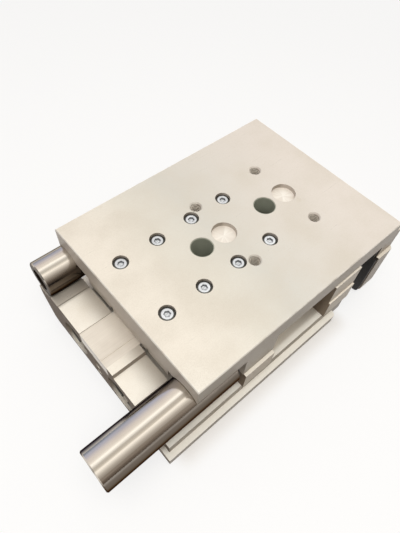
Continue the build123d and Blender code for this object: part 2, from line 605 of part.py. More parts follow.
def make_table():
    """Table plate with its skirt, front stop lug and rear sleeve holder, milled in one."""
    plate = block(TABLE_REAR, TABLE_FRONT, -TABLE_HALF, TABLE_HALF, TABLE_UNDER, TABLE_TOP)
    plate = chamfer(plate.edges().group_by(Axis.Z)[-1], TABLE_BREAK)
    skirt_x = TABLE_REAR + SKIRT_INSET
    skirt = block(
        skirt_x, skirt_x + SKIRT_THICK, -CARRIAGE_HALF, CARRIAGE_HALF, DECK_TOP + SKIRT_LIFT, TABLE_UNDER
    )
    for y, width in ((RAIL_HALF + RAIL_NOTCH / 2, RAIL_NOTCH), (-SHELF_Y, SHELF_NOTCH)):
        skirt -= block(
            skirt_x - OVERCUT, skirt_x + SKIRT_THICK + OVERCUT,
            y - width / 2, y + width / 2, 0, DECK_TOP + NOTCH_RISE,
        )
    lug = section(
        [
            (-TABLE_HALF, TABLE_UNDER),
            (-TABLE_HALF, SIDE_STEP_Z + AIR_GAP),
            (-CARRIAGE_HALF - LUG_INSET, SIDE_STEP_Z + AIR_GAP),
            (-CARRIAGE_HALF - LUG_INSET, TABLE_UNDER),
        ],
        LUG_REAR, LUG_FRONT,
    )
    holder = section(
        [
            (CARRIAGE_HALF + HOLDER_SIDE_GAP, TABLE_UNDER),
            (CARRIAGE_HALF + HOLDER_SIDE_GAP, SLEEVE_Z),
            (SLEEVE_Y - SLEEVE_R / 2, HOLDER_FOOT),
            (SLEEVE_Y + SLEEVE_R / 2, HOLDER_FOOT),
            (TABLE_HALF, SLEEVE_Z - SLEEVE_R / 2),
            (TABLE_HALF, TABLE_UNDER),
        ],
        HOLDER_REAR, HOLDER_REAR + HOLDER_LENGTH,
    )
    table = plate + skirt + lug + holder
    table -= rod_x(SLEEVE_R + AIR_GAP, TABLE_REAR - OVERCUT, LUG_REAR, -SLEEVE_Y, SLEEVE_Z)
    rear_channel_end = REAR_SLEEVE_FRONT + BUFFER_PROUD + AIR_GAP
    table -= rod_x(SLEEVE_R + FIT, TABLE_REAR - OVERCUT, rear_channel_end, SLEEVE_Y, SLEEVE_Z)
    for x, y in TABLE_SCREW_SPOTS:
        table -= Pos(x, y, TABLE_TOP - M4[1] - TABLE_SCREW_SINK) * screw_hole(M4, TABLE_THICK, OVERCUT)
    for x, y in THREAD_SPOTS:
        table -= rod_z(THREAD_TAP_R, TABLE_UNDER - OVERCUT, TABLE_TOP + OVERCUT, x, y)
        mouth = Cone(THREAD_TAP_R, THREAD_TAP_R + THREAD_CHAMFER, THREAD_CHAMFER)
        table -= Pos(x, y, TABLE_TOP - THREAD_CHAMFER / 2) * mouth
    for x in LOCATOR_X:
        table -= rod_z(LOCATOR_R, TABLE_TOP - LOCATOR_DEPTH, TABLE_TOP + OVERCUT, x, 0)
    for x in ACCESS_X:
        table -= rod_z(ACCESS_R, TABLE_UNDER - OVERCUT, TABLE_TOP + OVERCUT, x, 0)
    for x in HOLDER_SCREW_X:
        table -= rod_z(M5[2], HOLDER_FOOT - OVERCUT, SLEEVE_Z - SLEEVE_R + OVERCUT, x, SLEEVE_Y)
    for y in YOKE_SCREW_Y:
        tap_top = TABLE_UNDER + YOKE_SCREW_GRIP + END_ROOM
        table -= rod_z(M4[2], TABLE_UNDER - OVERCUT, tap_top, YOKE_SCREW_X, y)
    return table


def make_table_screws():
    """Cap screws from the table down into the carriage, one group."""
    under_head = TABLE_TOP - M4[1] - TABLE_SCREW_SINK
    length = under_head - TABLE_UNDER + TABLE_SCREW_GRIP - END_ROOM
    return fuse(Pos(x, y, under_head) * cap_screw(M4, length) for x, y in TABLE_SCREW_SPOTS)


def make_balls():
    """The balls under load in the two rows."""
    return fuse(Pos(x, side * BALL_Y, BALL_Z) * Sphere(BALL_R) for side in (-1, 1) for x in BALL_X)


def make_cap_screws():
    """Screws that hold both carriage end caps, their heads outside the caps."""
    length = CARRIAGE_CAP_T + CAP_SCREW_GRIP - END_ROOM
    rear_x = CARRIAGE_REAR - CARRIAGE_CAP_T
    front_x = CARRIAGE_FRONT + CARRIAGE_CAP_T
    low_head = (M3[0], CAP_HEAD, M3[2], M3[3])
    screws = []
    for y, z in CAP_SCREW_SPOTS:
        screws.append(Pos(rear_x, y, z) * Rot(0, -90, 0) * cap_screw(low_head, length))
        screws.append(Pos(front_x, y, z) * Rot(0, 90, 0) * cap_screw(low_head, length))
    return fuse(screws)


def yoke_outline(margin, low, top):
    """Outline of the yoke, wider below the step at its sides, drawn in by margin."""
    wide = YOKE_HALF - margin
    narrow = TABLE_HALF - margin
    step = YOKE_STEP_Z - margin
    half = [(wide, low), (wide, step), (narrow, step), (narrow, top)]
    return half + [(-y, z) for y, z in reversed(half)]


def round_foot(plate, radius):
    """The two lower corners of a plate across the travel, rounded."""
    return fillet(plate.edges().filter_by(Axis.X).group_by(Axis.Z)[0], radius)


def make_yoke():
    """End plate that joins the piston rods to the table."""
    yoke = section(yoke_outline(0, YOKE_LIFT, TABLE_UNDER), YOKE_REAR, YOKE_FRONT)
    yoke = round_foot(yoke, YOKE_CORNER)
    front_foot = yoke.faces().sort_by(Axis.X)[-1].edges().sort_by(Axis.Z)[0]
    yoke = chamfer(front_foot, YOKE_FOOT_BREAK)
    lip = block(
        TABLE_FRONT, YOKE_FRONT, -TABLE_HALF, TABLE_HALF, TABLE_UNDER - YOKE_BREAK, TABLE_TOP - YOKE_DROP
    )
    lip_edge = lip.faces().sort_by(Axis.Z)[-1].edges().sort_by(Axis.X)[-1]
    yoke += chamfer(lip_edge, YOKE_BREAK)
    for y in BORE_SIDES:
        yoke -= rod_x(ROD_R + FIT, YOKE_REAR - OVERCUT, YOKE_REAR + ROD_SPIGOT, y, BORE_Z)
        yoke -= Pos(ROD_SCREW_X, y, BORE_Z) * Rot(0, 90, 0) * screw_hole(M5, YOKE_THICK, OVERCUT)
    for y in YOKE_SCREW_Y:
        yoke -= rod_z(M4[0] + HEAD_ROOM, YOKE_LIFT - OVERCUT, YOKE_SCREW_SEAT, YOKE_SCREW_X, y)
        yoke -= rod_z(M4[2] + FIT, YOKE_LIFT, TABLE_UNDER + OVERCUT, YOKE_SCREW_X, y)
    return yoke


def make_yoke_screws():
    """Screws from below through the yoke into the table, one group."""
    return fuse(
        Pos(YOKE_SCREW_X, y, YOKE_SCREW_SEAT) * Rot(180, 0, 0) * cap_screw(M4, YOKE_SCREW_LENGTH)
        for y in YOKE_SCREW_Y
    )


def make_pad():
    """Black elastomer pad on the yoke's inner face, cut out for the rods."""
    outline = yoke_outline(PAD_MARGIN, YOKE_LIFT + PAD_MARGIN, TABLE_UNDER - PAD_MARGIN)
    pad = section(outline, YOKE_REAR - PAD_THICK, YOKE_REAR)
    pad = round_foot(pad, YOKE_CORNER - PAD_MARGIN)
    for y in BORE_SIDES:
        pad -= rod_x(ROD_R + AIR_GAP, YOKE_REAR - PAD_THICK - OVERCUT, YOKE_REAR + OVERCUT, y, BORE_Z)
    return pad


def make_rods():
    """Piston rods from the pistons to the yoke, tapped at the yoke end."""
    rear = PISTON_FRONT - ROD_SOCKET
    rods = []
    for y in BORE_SIDES:
        rod = rod_x(ROD_R, rear, YOKE_REAR + ROD_SPIGOT, y, BORE_Z)
        tap_end = ROD_SCREW_X - ROD_SCREW_LENGTH - OVERCUT
        rod -= rod_x(M5[2], tap_end, YOKE_REAR + ROD_SPIGOT + OVERCUT, y, BORE_Z)
        rods.append(rod)
    return fuse(rods)


def make_rod_screws():
    """Screws through the yoke into the rod ends."""
    return fuse(
        Pos(ROD_SCREW_X, y, BORE_Z) * Rot(0, 90, 0) * cap_screw(M5, ROD_SCREW_LENGTH)
        for y in BORE_SIDES
    )


def make_pistons():
    """Pistons with two seal grooves and a magnet groove."""
    pistons = []
    for y in BORE_SIDES:
        piston = rod_x(BORE_R - SLIDE_FIT, PISTON_REAR, PISTON_FRONT, y, BORE_Z)
        piston = chamfer(piston.edges().filter_by(GeomType.CIRCLE), PISTON_BREAK)
        for station, width in piston_grooves():
            x0 = PISTON_REAR + station
            piston -= ring_x(BORE_R + OVERCUT, BORE_R - GROOVE_DEPTH, x0, x0 + width, y, BORE_Z)
        piston -= rod_x(ROD_R, PISTON_FRONT - ROD_SOCKET, PISTON_FRONT + OVERCUT, y, BORE_Z)
        pistons.append(piston)
    return fuse(pistons)


def piston_grooves():
    """Grooves of one piston as (station from its rear face, width)."""
    return [(station, SEAL_WIDTH) for station in SEAL_STATIONS] + [(MAGNET_STATION, MAGNET_WIDTH)]


def piston_rings(stations, width):
    """Rings that fill the named piston grooves, just clear of the bore."""
    inner = BORE_R - GROOVE_DEPTH
    rings = []
    for y in BORE_SIDES:
        for station in stations:
            x0 = PISTON_REAR + station
            rings.append(ring_x(BORE_R - FIT, inner, x0, x0 + width, y, BORE_Z))
    return fuse(rings)


def make_end_caps():
    """Plugs that close the bores, each with a seal groove."""
    caps = []
    for y in BORE_SIDES:
        cap = rod_x(CAP_R - FIT, CAP_FACE, BORE_REAR, y, BORE_Z)
        cap -= rod_x(CAP_R / 2, CAP_FACE - OVERCUT, CAP_FACE + CAP_RECESS, y, BORE_Z)
        x0 = CAP_FACE + CAP_SEAL_STATION
        cap -= ring_x(CAP_R + OVERCUT, CAP_R - GROOVE_DEPTH, x0, x0 + SEAL_WIDTH, y, BORE_Z)
        caps.append(cap)
    return fuse(caps)


def make_cap_seals():
    """Seals in the grooves of the bore plugs."""
    x0 = CAP_FACE + CAP_SEAL_STATION
    inner = CAP_R - GROOVE_DEPTH
    return fuse(
        ring_x(CAP_R - FIT / 2, inner, x0, x0 + SEAL_WIDTH, y, BORE_Z) for y in BORE_SIDES
    )


def make_cap_rings():
    """Internal retaining rings in front of the bore plugs."""
    rings = []
    for y in BORE_SIDES:
        x0 = CAP_FACE - RING_THICK
        ring = ring_x(CAP_R + RING_GROOVE - FIT, CAP_R - RING_REACH, x0, CAP_FACE, y, BORE_Z)
        ring -= block(
            x0 - OVERCUT, CAP_FACE + OVERCUT, y - RING_MOUTH, y + RING_MOUTH, BORE_Z - 2 * CAP_R, BORE_Z
        )
        rings.append(ring)
    return fuse(rings)


def make_bushes():
    """Plain bearing bushes for the rods."""
    return fuse(
        ring_x(BUSH_R - FIT / 2, ROD_R + SLIDE_FIT, BUSH_FRONT - BUSH_LENGTH, BUSH_FRONT, y, BORE_Z)
        for y in BORE_SIDES
    )


def seat_rings(start, width, lip):
    """Rings in the seal seats at the housing's front, from start ahead of the bush."""
    x0 = BUSH_FRONT + start
    rings = []
    for y in BORE_SIDES:
        ring = ring_x(SEAL_SEAT_R - FIT, ROD_R + SLIDE_FIT, x0, x0 + width, y, BORE_Z)
        ring -= ring_x(ROD_R + lip + LIP_WIDTH, ROD_R + lip, x0 - OVERCUT, x0 + LIP_DEPTH, y, BORE_Z)
        rings.append(ring)
    return fuse(rings)


def make_gland_plate():
    """Plate that holds the rod seals in, with holes for the rods."""
    plate = block(
        HOUSING_FRONT, HOUSING_FRONT + GLAND_PLATE_T,
        -GLAND_HALF_Y, GLAND_HALF_Y, GLAND_LOW, GLAND_HIGH,
    )
    plate = fillet(plate.edges().filter_by(Axis.X), GLAND_RIM)
    for y in BORE_SIDES:
        through = (HOUSING_FRONT - OVERCUT, HOUSING_FRONT + GLAND_PLATE_T + OVERCUT)
        plate -= rod_x(ROD_R + AIR_GAP, *through, y, BORE_Z)
    for y, z in GLAND_SPOTS:
        plate -= Pos(GLAND_SEAT, y, z) * Rot(0, 90, 0) * screw_hole(M3, GLAND_PLATE_T, OVERCUT)
    return plate


def make_gland_screws():
    """Screws of the gland plate, one group."""
    length = GLAND_SEAT - HOUSING_FRONT + GLAND_SCREW_LENGTH - GLAND_PLATE_T - END_ROOM
    return fuse(Pos(GLAND_SEAT, y, z) * Rot(0, 90, 0) * cap_screw(M3, length) for y, z in GLAND_SPOTS)


def stop_sleeve(rear, y):
    """Chrome-plated stop sleeve along X from the station rear, with broken edges."""
    tube = ring_x(SLEEVE_R, SLEEVE_BORE_R, rear, rear + SLEEVE_LENGTH, y, SLEEVE_Z)
    ends = tube.edges().filter_by(GeomType.CIRCLE)
    outer = [e for e in ends if e.radius > SLEEVE_R - PICK]
    return chamfer(outer, SLEEVE_BREAK)


def stop_buffer(face, y):
    """Elastomer buffer in the front end of a sleeve whose end face is at face."""
    stem = rod_x(SLEEVE_BORE_R - FIT, face - BUFFER_DEPTH, face + PICK, y, SLEEVE_Z)
    head = rod_x(BUFFER_HEAD_R, face, face + BUFFER_PROUD, y, SLEEVE_Z)
    rim = head.edges().filter_by(GeomType.CIRCLE).sort_by(Axis.X)[-1]
    return stem + chamfer(rim, SLEEVE_BREAK)


def sleeve_plug(rear, y):
    """Plug that closes the rear end of a sleeve, with a hex socket."""
    face = rear + PLUG_SINK
    plug = rod_x(SLEEVE_BORE_R - FIT, face, face + PLUG_LENGTH, y, SLEEVE_Z)
    hexagon = Pos(face, y, SLEEVE_Z) * Rot(0, 90, 0) * RegularPolygon(PLUG_SOCKET_R, 6)
    return plug - extrude(hexagon, amount=PLUG_SOCKET_DEPTH)


def make_front_sleeve():
    """Sleeve fixed in the housing's saddle, tapped from below."""
    sleeve = stop_sleeve(FRONT_SLEEVE_REAR, -SLEEVE_Y)
    for x in SADDLE_SCREW_X:
        sleeve -= rod_z(M4[2], SLEEVE_Z - SLEEVE_R - OVERCUT, SLEEVE_Z, x, -SLEEVE_Y)
    return sleeve


def make_saddle_screws():
    """Screws from the base up into the fixed sleeve."""
    return fuse(
        Pos(x, -SLEEVE_Y, SADDLE_SCREW_Z) * Rot(180, 0, 0) * cap_screw(M4, SADDLE_SCREW_LENGTH)
        for x in SADDLE_SCREW_X
    )


def make_block_screws():
    """Screws from the base up into the side wall and the two end blocks, one group."""
    spots = [(x, -FRONT_SCREW_Y) for x in WALL_SCREW_X + CORNER_SCREW_X]
    spots += [(x, REAR_SCREW_Y) for x in STOP_SCREW_X]
    screw = Rot(180, 0, 0) * cap_screw(M4, BLOCK_SCREW_LENGTH)
    return fuse(Pos(x, y, BLOCK_SCREW_Z) * screw for x, y in spots)


def make_set_screws():
    """Set screws in the table's holder that press on the moving sleeve."""
    foot = HOLDER_FOOT + HEAD_ROOM
    screws = []
    for x in HOLDER_SCREW_X:
        screw = rod_z(M5[2] - FIT, foot, SLEEVE_Z - SLEEVE_R - FIT, x, SLEEVE_Y)
        hexagon = Pos(x, SLEEVE_Y, foot) * RegularPolygon(SET_SCREW_SOCKET_R, 6)
        screws.append(screw - extrude(hexagon, amount=SET_SCREW_SOCKET))
    return fuse(screws)


def model():
    """Every separate piece of the slide by its node name."""
    parts = {
        "housing": make_housing(),
        "side_wall": make_side_wall(),
        "front_corner_block": make_corner_block(),
        "rear_stop_block": make_stop_block(),
        "sleeve_saddle": make_saddle(),
        "block_screws": make_block_screws(),
        "guide_rail": make_rail(),
        "rail_screws": make_rail_screws(),
        "bore_end_caps": make_end_caps(),
        "end_cap_seals": make_cap_seals(),
        "end_cap_rings": make_cap_rings(),
        "rod_bushes": make_bushes(),
        "rod_seals": seat_rings(SEAL_SPACE, ROD_SEAL_WIDTH, SEAL_LIP),
        "rod_wipers": seat_rings(WIPER_START, WIPER_WIDTH, WIPER_LIP),
        "gland_plate": make_gland_plate(),
        "gland_plate_screws": make_gland_screws(),
        "front_stop_sleeve": make_front_sleeve(),
        "front_stop_buffer": stop_buffer(FRONT_SLEEVE_FRONT, -SLEEVE_Y),
        "front_sleeve_plug": sleeve_plug(FRONT_SLEEVE_REAR, -SLEEVE_Y),
        "front_sleeve_screws": make_saddle_screws(),
        "table_plate": make_table(),
        "table_screws": make_table_screws(),
        "carriage": make_carriage(),
        "carriage_cap_rear": carriage_cap(CARRIAGE_REAR - CARRIAGE_CAP_T),
        "carriage_cap_front": carriage_cap(CARRIAGE_FRONT),
        "carriage_cap_screws": make_cap_screws(),
        "load_balls": make_balls(),
        "yoke_plate": make_yoke(),
        "yoke_screws": make_yoke_screws(),
        "yoke_pad": make_pad(),
        "piston_rods": make_rods(),
        "rod_screws": make_rod_screws(),
        "pistons": make_pistons(),
        "piston_seals": piston_rings(SEAL_STATIONS, SEAL_WIDTH),
        "piston_magnets": piston_rings((MAGNET_STATION,), MAGNET_WIDTH),
        "rear_stop_sleeve": stop_sleeve(REAR_SLEEVE_REAR, SLEEVE_Y),
        "rear_stop_buffer": stop_buffer(REAR_SLEEVE_FRONT, SLEEVE_Y),
        "rear_sleeve_plug": sleeve_plug(REAR_SLEEVE_REAR, SLEEVE_Y),
        "rear_set_screws": make_set_screws(),
    }
    return parts


os.makedirs("parts", exist_ok=True)
for node, shape in model().items():
    export_step(shape, f"parts/{node}.step")
    print(node, round(shape.volume, 1))
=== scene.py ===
# %% [markdown]
# A pneumatic mini slide is a small machine: a table that two hidden pistons push along a ball
# rail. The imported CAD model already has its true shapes, so this lesson starts from it and adds
# finishes, the fine detail that a CAD file leaves out, light, a floor and a camera.

# %% Load the frame
import json
import math

import bmesh
import bpy
from mathutils import Matrix, Vector


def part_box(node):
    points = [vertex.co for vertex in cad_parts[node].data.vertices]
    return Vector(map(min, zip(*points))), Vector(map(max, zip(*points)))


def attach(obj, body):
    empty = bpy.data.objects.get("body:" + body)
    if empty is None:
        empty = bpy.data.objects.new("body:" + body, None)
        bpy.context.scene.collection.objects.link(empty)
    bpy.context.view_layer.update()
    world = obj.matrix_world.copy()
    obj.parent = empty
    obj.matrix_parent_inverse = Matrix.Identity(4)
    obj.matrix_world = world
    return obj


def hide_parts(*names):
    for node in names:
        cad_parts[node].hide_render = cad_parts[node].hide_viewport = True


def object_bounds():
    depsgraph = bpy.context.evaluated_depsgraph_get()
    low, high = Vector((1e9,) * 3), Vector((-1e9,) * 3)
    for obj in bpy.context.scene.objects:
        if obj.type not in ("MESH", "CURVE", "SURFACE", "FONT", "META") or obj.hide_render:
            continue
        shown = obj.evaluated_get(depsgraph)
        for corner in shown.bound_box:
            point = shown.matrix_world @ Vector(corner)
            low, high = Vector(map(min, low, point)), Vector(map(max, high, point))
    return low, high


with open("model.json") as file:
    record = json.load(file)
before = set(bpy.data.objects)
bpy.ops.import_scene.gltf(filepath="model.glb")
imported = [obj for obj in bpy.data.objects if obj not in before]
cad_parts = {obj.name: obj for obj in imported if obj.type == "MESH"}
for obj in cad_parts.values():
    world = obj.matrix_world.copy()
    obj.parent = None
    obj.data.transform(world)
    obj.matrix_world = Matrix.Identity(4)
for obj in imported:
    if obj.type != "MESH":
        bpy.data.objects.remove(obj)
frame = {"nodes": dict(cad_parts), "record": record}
cad_low, cad_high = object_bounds()
nodes = frame["nodes"]
mounts = {mount["name"]: mount for mount in frame["record"]["mounts"]}
print("CAD box in metres:", [round(v, 4) for v in (*cad_low, *cad_high)])

# %% [markdown]
# The camera stands above the rear corner of the slide and looks down along the table. A real
# lens is described by its focal length, which is known here in pixels of the picture, and its
# place is three numbers in metres. The axes of the view are given as two arrows, to the right
# and down the picture, and the third follows.

# %% Camera
IMAGE_WIDTH, IMAGE_HEIGHT = 400, 533
FOCAL_PIXELS = 452.98
SENSOR = 36.0
NEAREST = 0.005
CAMERA_PLACE = (-0.08527, -0.08628, 0.21166)
VIEW_RIGHT = (0.75308, -0.65613, 0.04863)
VIEW_DOWN = (-0.51889, -0.63775, -0.56924)


def place_camera(place, right, down):
    """A camera from its place and the two arrows of its picture."""
    data = bpy.data.cameras.new("view")
    data.sensor_width = SENSOR
    data.lens = FOCAL_PIXELS * SENSOR / max(IMAGE_WIDTH, IMAGE_HEIGHT)
    data.clip_start = NEAREST
    camera = bpy.data.objects.new("view", data)
    bpy.context.scene.collection.objects.link(camera)
    x, y = Vector(right).normalized(), -Vector(down).normalized()
    z = x.cross(y)
    axes = Matrix((x, y, z)).transposed()
    camera.matrix_world = Matrix.Translation(Vector(place)) @ axes.to_4x4()
    bpy.context.scene.camera = camera
    return camera


camera = place_camera(CAMERA_PLACE, VIEW_RIGHT, VIEW_DOWN)
print("lens:", round(camera.data.lens, 2), "mm")

# %% [markdown]
# Shader maths is easier to read as sums. This class wraps one socket of a node tree, so that an
# expression such as 1 - mask adds the Math node for it.

# %% Sockets in sums


class Socket:
    """One output socket that can be added, subtracted, multiplied and divided."""

    def __init__(self, tree, output):
        self.tree = tree
        self.output = output

    def math(self, operation, first, second=None):
        values = {0: first}
        if second is not None:
            values[1] = second
        return self.tree.node("ShaderNodeMath", {"operation": operation}, values)

    def __add__(self, other):
        return self.math("ADD", self, other)

    def __radd__(self, other):
        return self.math("ADD", other, self)

    def __sub__(self, other):
        return self.math("SUBTRACT", self, other)

    def __rsub__(self, other):
        return self.math("SUBTRACT", other, self)

    def __mul__(self, other):
        return self.math("MULTIPLY", self, other)

    def __truediv__(self, other):
        return self.math("DIVIDE", self, other)

    def __abs__(self):
        return self.math("ABSOLUTE", self)


print("a socket takes +, -, *, / and abs")

# %% [markdown]
# A material and the world each hold a node tree. One method adds any node from its type, its
# settings and what goes into its sockets. The others are short for what is needed again and
# again: a soft step between two values, a mix of two colours, and the numbers of a vector.

# %% Node trees


class Tree:
    """A node tree whose nodes are all added by one method."""

    def __init__(self, owner):
        owner.use_nodes = True
        self.nodes = owner.node_tree.nodes
        self.links = owner.node_tree.links

    def node(self, kind, settings=None, values=None, out=0):
        """A new node, given back as one of its output sockets."""
        made = self.nodes.new(kind)
        for key, value in (settings or {}).items():
            if key == "stops":
                ramp = made.color_ramp
                while len(ramp.elements) < len(value):
                    ramp.elements.new(0.5)
                for element, (position, colour) in zip(ramp.elements, value):
                    element.position = position
                    element.color = (*colour, 1.0) if len(colour) == 3 else colour
            else:
                setattr(made, key, value)
        for key, value in (values or {}).items():
            self.join(made.inputs[key], value)
        return Socket(self, made.outputs[out])

    def join(self, socket, value):
        """A link from another socket, or a plain value on the socket itself."""
        if isinstance(value, Socket):
            self.links.new(value.output, socket)
        else:
            socket.default_value = value

    def band(self, value, low, high):
        """0 below low, 1 above high, smooth between."""
        settings = {"interpolation_type": "SMOOTHSTEP"}
        return self.node("ShaderNodeMapRange", settings, {0: value, 1: low, 2: high})

    def mix(self, factor, first, second):
        """A colour between two colours."""
        values = {0: factor, 6: first, 7: second}
        return self.node("ShaderNodeMix", {"data_type": "RGBA"}, values, out=2)

    def greater(self, first, second):
        """The greater of two numbers."""
        return self.node("ShaderNodeMath", {"operation": "MAXIMUM"}, {0: first, 1: second})

    def parts(self, vector):
        """The three numbers of a vector."""
        split = self.node("ShaderNodeSeparateXYZ", {}, {0: vector})
        return [Socket(self, split.output.node.outputs[i]) for i in range(3)]


print("a tree adds nodes, soft steps and mixes")

# %% [markdown]
# Patterns are laid over the object's own coordinates, so they stay on a piece when it moves and
# keep their scale in metres. Texture Coordinate's Normal says which way a face looks in the same
# coordinates. Colours are written as the eye reads them and turned into a shader's numbers.

# %% Finishes and colours


class Finish(Tree):
    """A material and the nodes that make it."""

    def __init__(self, name):
        self.material = bpy.data.materials.new(name)
        super().__init__(self.material)
        self.shader = self.nodes["Principled BSDF"]
        self.place = self.node("ShaderNodeTexCoord", out="Object")
        self.facing = self.node("ShaderNodeTexCoord", out="Normal")

    def set(self, name, value):
        """One of the shader's sockets."""
        self.join(self.shader.inputs[name], value)

    def noise(self, scale, stretch=(1, 1, 1), detail=3.0, rough=0.55):
        """Noise over the object, in features of about 1 / scale metres."""
        spot = self.node("ShaderNodeMapping", {}, {"Vector": self.place, "Scale": stretch})
        values = {"Vector": spot, "Scale": scale, "Detail": detail, "Roughness": rough}
        return self.node("ShaderNodeTexNoise", {}, values)

    def bump(self, height, strength, distance):
        """Small relief that only the light shows."""
        values = {"Height": height, "Strength": strength, "Distance": distance}
        return self.node("ShaderNodeBump", {}, values)

    def distance(self, x, y, flat_x, flat_y):
        """How far a spot is from an upright axis at x, y."""
        flat = self.node("ShaderNodeCombineXYZ", {}, {0: flat_x, 1: flat_y, 2: 0.0})
        values = {0: flat, 1: (x, y, 0.0)}
        return self.node("ShaderNodeVectorMath", {"operation": "DISTANCE"}, values, out="Value")


def rgb(red, green, blue):
    """A colour as the eye reads it, 0 to 255, in the linear numbers that a shader takes."""
    share = [c / 255 for c in (red, green, blue)]
    return (*[c / 12.92 if c <= 0.04045 else ((c + 0.055) / 1.055) ** 2.4 for c in share], 1.0)


WHITE = rgb(255, 255, 255)
print("mid grey as a shader takes it:", round(rgb(128, 128, 128)[0], 3))

# %% [markdown]
# Polished tubes show the room that they stand in. This room is soft, with long pale and dim
# bands that run along the slide, as between two rows of diffusers. The bands come from a ramp
# over the direction's Y, and the room grows darker behind the slide's rear end. Matt surfaces
# get half of the room's light, and a lamp gives them the rest with soft shadows. The camera
# itself sees plain white, which only shows in views from low down.

# %% The room
BANDS = [
    (-1.0, (0.17, 0.13, 0.10)), (-0.94, (0.36, 0.31, 0.27)), (-0.83, (0.47, 0.43, 0.39)),
    (-0.70, (0.70, 0.66, 0.61)), (-0.55, (1.10, 1.06, 1.00)), (-0.40, (1.62, 1.58, 1.50)),
    (-0.30, (1.30, 1.26, 1.18)), (-0.17, (0.80, 0.78, 0.73)), (0.02, (0.92, 0.90, 0.86)),
    (0.14, (1.45, 1.44, 1.40)), (0.26, (1.80, 1.80, 1.76)), (0.36, (1.40, 1.36, 1.30)),
    (0.47, (1.15, 1.11, 1.06)), (0.63, (1.10, 1.04, 1.01)), (0.78, (0.93, 0.90, 0.94)),
    (0.89, (0.72, 0.73, 0.88)), (0.96, (0.64, 0.69, 0.88)), (1.0, (0.34, 0.39, 0.50)),
]
BAND_PEAK = 2.0
ROOM_STRENGTH = 0.92
DIFFUSE_SHARE = 0.50
REAR_DIM, REAR_FADE = 0.72, (0.2, 0.9)
FRONT_DIM, FRONT_FADE = 0.3, (0.5, 1.0)


def soft_room():
    """A world of long bands along the slide, dimmer at both of its ends."""
    world = bpy.data.worlds.new("soft_room")
    bpy.context.scene.world = world
    t = Tree(world)
    way_x, way_y = t.parts(t.node("ShaderNodeTexCoord", out="Generated"))[:2]
    stops = [((y + 1) / 2, [c / BAND_PEAK for c in colour]) for y, colour in BANDS]
    ramp = t.node("ShaderNodeValToRGB", {"stops": stops}, {0: way_y * 0.5 + 0.5})
    rear = t.band(way_x * -1.0, *REAR_FADE) * REAR_DIM
    front = t.band(way_x, *FRONT_FADE) * FRONT_DIM
    matt = t.node("ShaderNodeLightPath", out="Is Diffuse Ray")
    share = 1 - matt * (1 - DIFFUSE_SHARE)
    level = (1 - rear) * (1 - front) * share * (BAND_PEAK * ROOM_STRENGTH)
    seen = t.node("ShaderNodeLightPath", out="Is Camera Ray")
    back = t.nodes["Background"]
    t.join(back.inputs["Color"], t.mix(seen, ramp, WHITE))
    t.join(back.inputs["Strength"], level * (1 - seen) + seen)
    return world


print("room:", soft_room().name, "with", len(BANDS), "stops in its ramp")

# %% [markdown]
# One large lamp hangs overhead, a little towards the camera's side, so that faces that look up
# are bright and the sides fall off. It doesn't show in the metal, where the bands already are.

# %% Lamp
LAMP_PLACE = (-0.12, -0.13, 0.68)
LAMP_AIM = (0.01, 0.0, 0.03)
LAMP_SIZE = 0.42
LAMP_WATTS = 3.2
LAMP_COLOUR = (1.0, 0.985, 0.955)


def overhead_lamp():
    """A square lamp that faces the slide and isn't mirrored in metal."""
    data = bpy.data.lights.new("overhead", "AREA")
    data.shape = "SQUARE"
    data.size = LAMP_SIZE
    data.energy = LAMP_WATTS
    data.color = LAMP_COLOUR
    lamp = bpy.data.objects.new("overhead", data)
    bpy.context.scene.collection.objects.link(lamp)
    lamp.location = LAMP_PLACE
    aim = Vector(LAMP_AIM) - Vector(LAMP_PLACE)
    lamp.rotation_euler = aim.to_track_quat("-Z", "Y").to_euler()
    lamp.visible_glossy = False
    lamp.visible_camera = False
    return aim.length


print("lamp:", round(overhead_lamp(), 2), "m from the slide,", LAMP_WATTS, "W")

# %% [markdown]
# The body and the table are aluminium that was milled, blasted fine and anodised in its natural
# warm tone. The surface is made of a mottle, a fine grain, some faint stains and a few hair
# lines between two tones. Every aluminium piece shares it, so it is one function.

# %% Blasted surface


def blasted(f, light, dark, grain):
    """Mottle, grain, stains and hair lines between two tones, with its roughness and bump."""
    mottle = f.band(f.noise(38, detail=4.0), 0.35, 0.7)
    speck = f.band(f.noise(2600, detail=2.0), 0.4, 0.65)
    hair = f.band(f.noise(70, (1, 34, 34), detail=2.0), 0.66, 0.69)
    cross = f.band(f.noise(64, (30, 2, 30), detail=2.0), 0.69, 0.72)
    stain = f.band(f.noise(95, detail=5.0, rough=0.62), 0.66, 0.74)
    marks = hair * 0.10 + cross * 0.10 + stain * 0.35
    shade = f.mix(mottle * 0.45 + speck * 0.22 + marks, light, dark)
    f.set("Roughness", 0.40 + (mottle - 0.5) * 0.06 + (speck - 0.5) * 0.10 - hair * 0.06)
    f.set("Normal", f.bump(speck + hair * -0.4 + cross * -0.3, grain, 0.00002))
    return shade


print("blasted: mottle, grain, hair lines, cross lines and stains in one surface")

# %% [markdown]
# The marks on the table follow its real measures. They are read from the CAD plate's own box
# and from the record's mounts, so they stay right where the plate and its two recesses are.

# %% Measures of the table
table_low, table_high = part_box("table_plate")
TABLE_REAR, TABLE_FRONT = table_low[0], table_high[0]
TABLE_HALF, TABLE_TOP = table_high[1], table_high[2]
LOCATORS = [mounts[name]["pos_m"][:2] for name in ("locator_near", "locator_far")]
LOCATOR_R = mounts["locator_near"]["dims"]["r_mm"] / 1000
print("table plate:", round(TABLE_FRONT - TABLE_REAR, 4), "m long, top at", round(TABLE_TOP, 4))
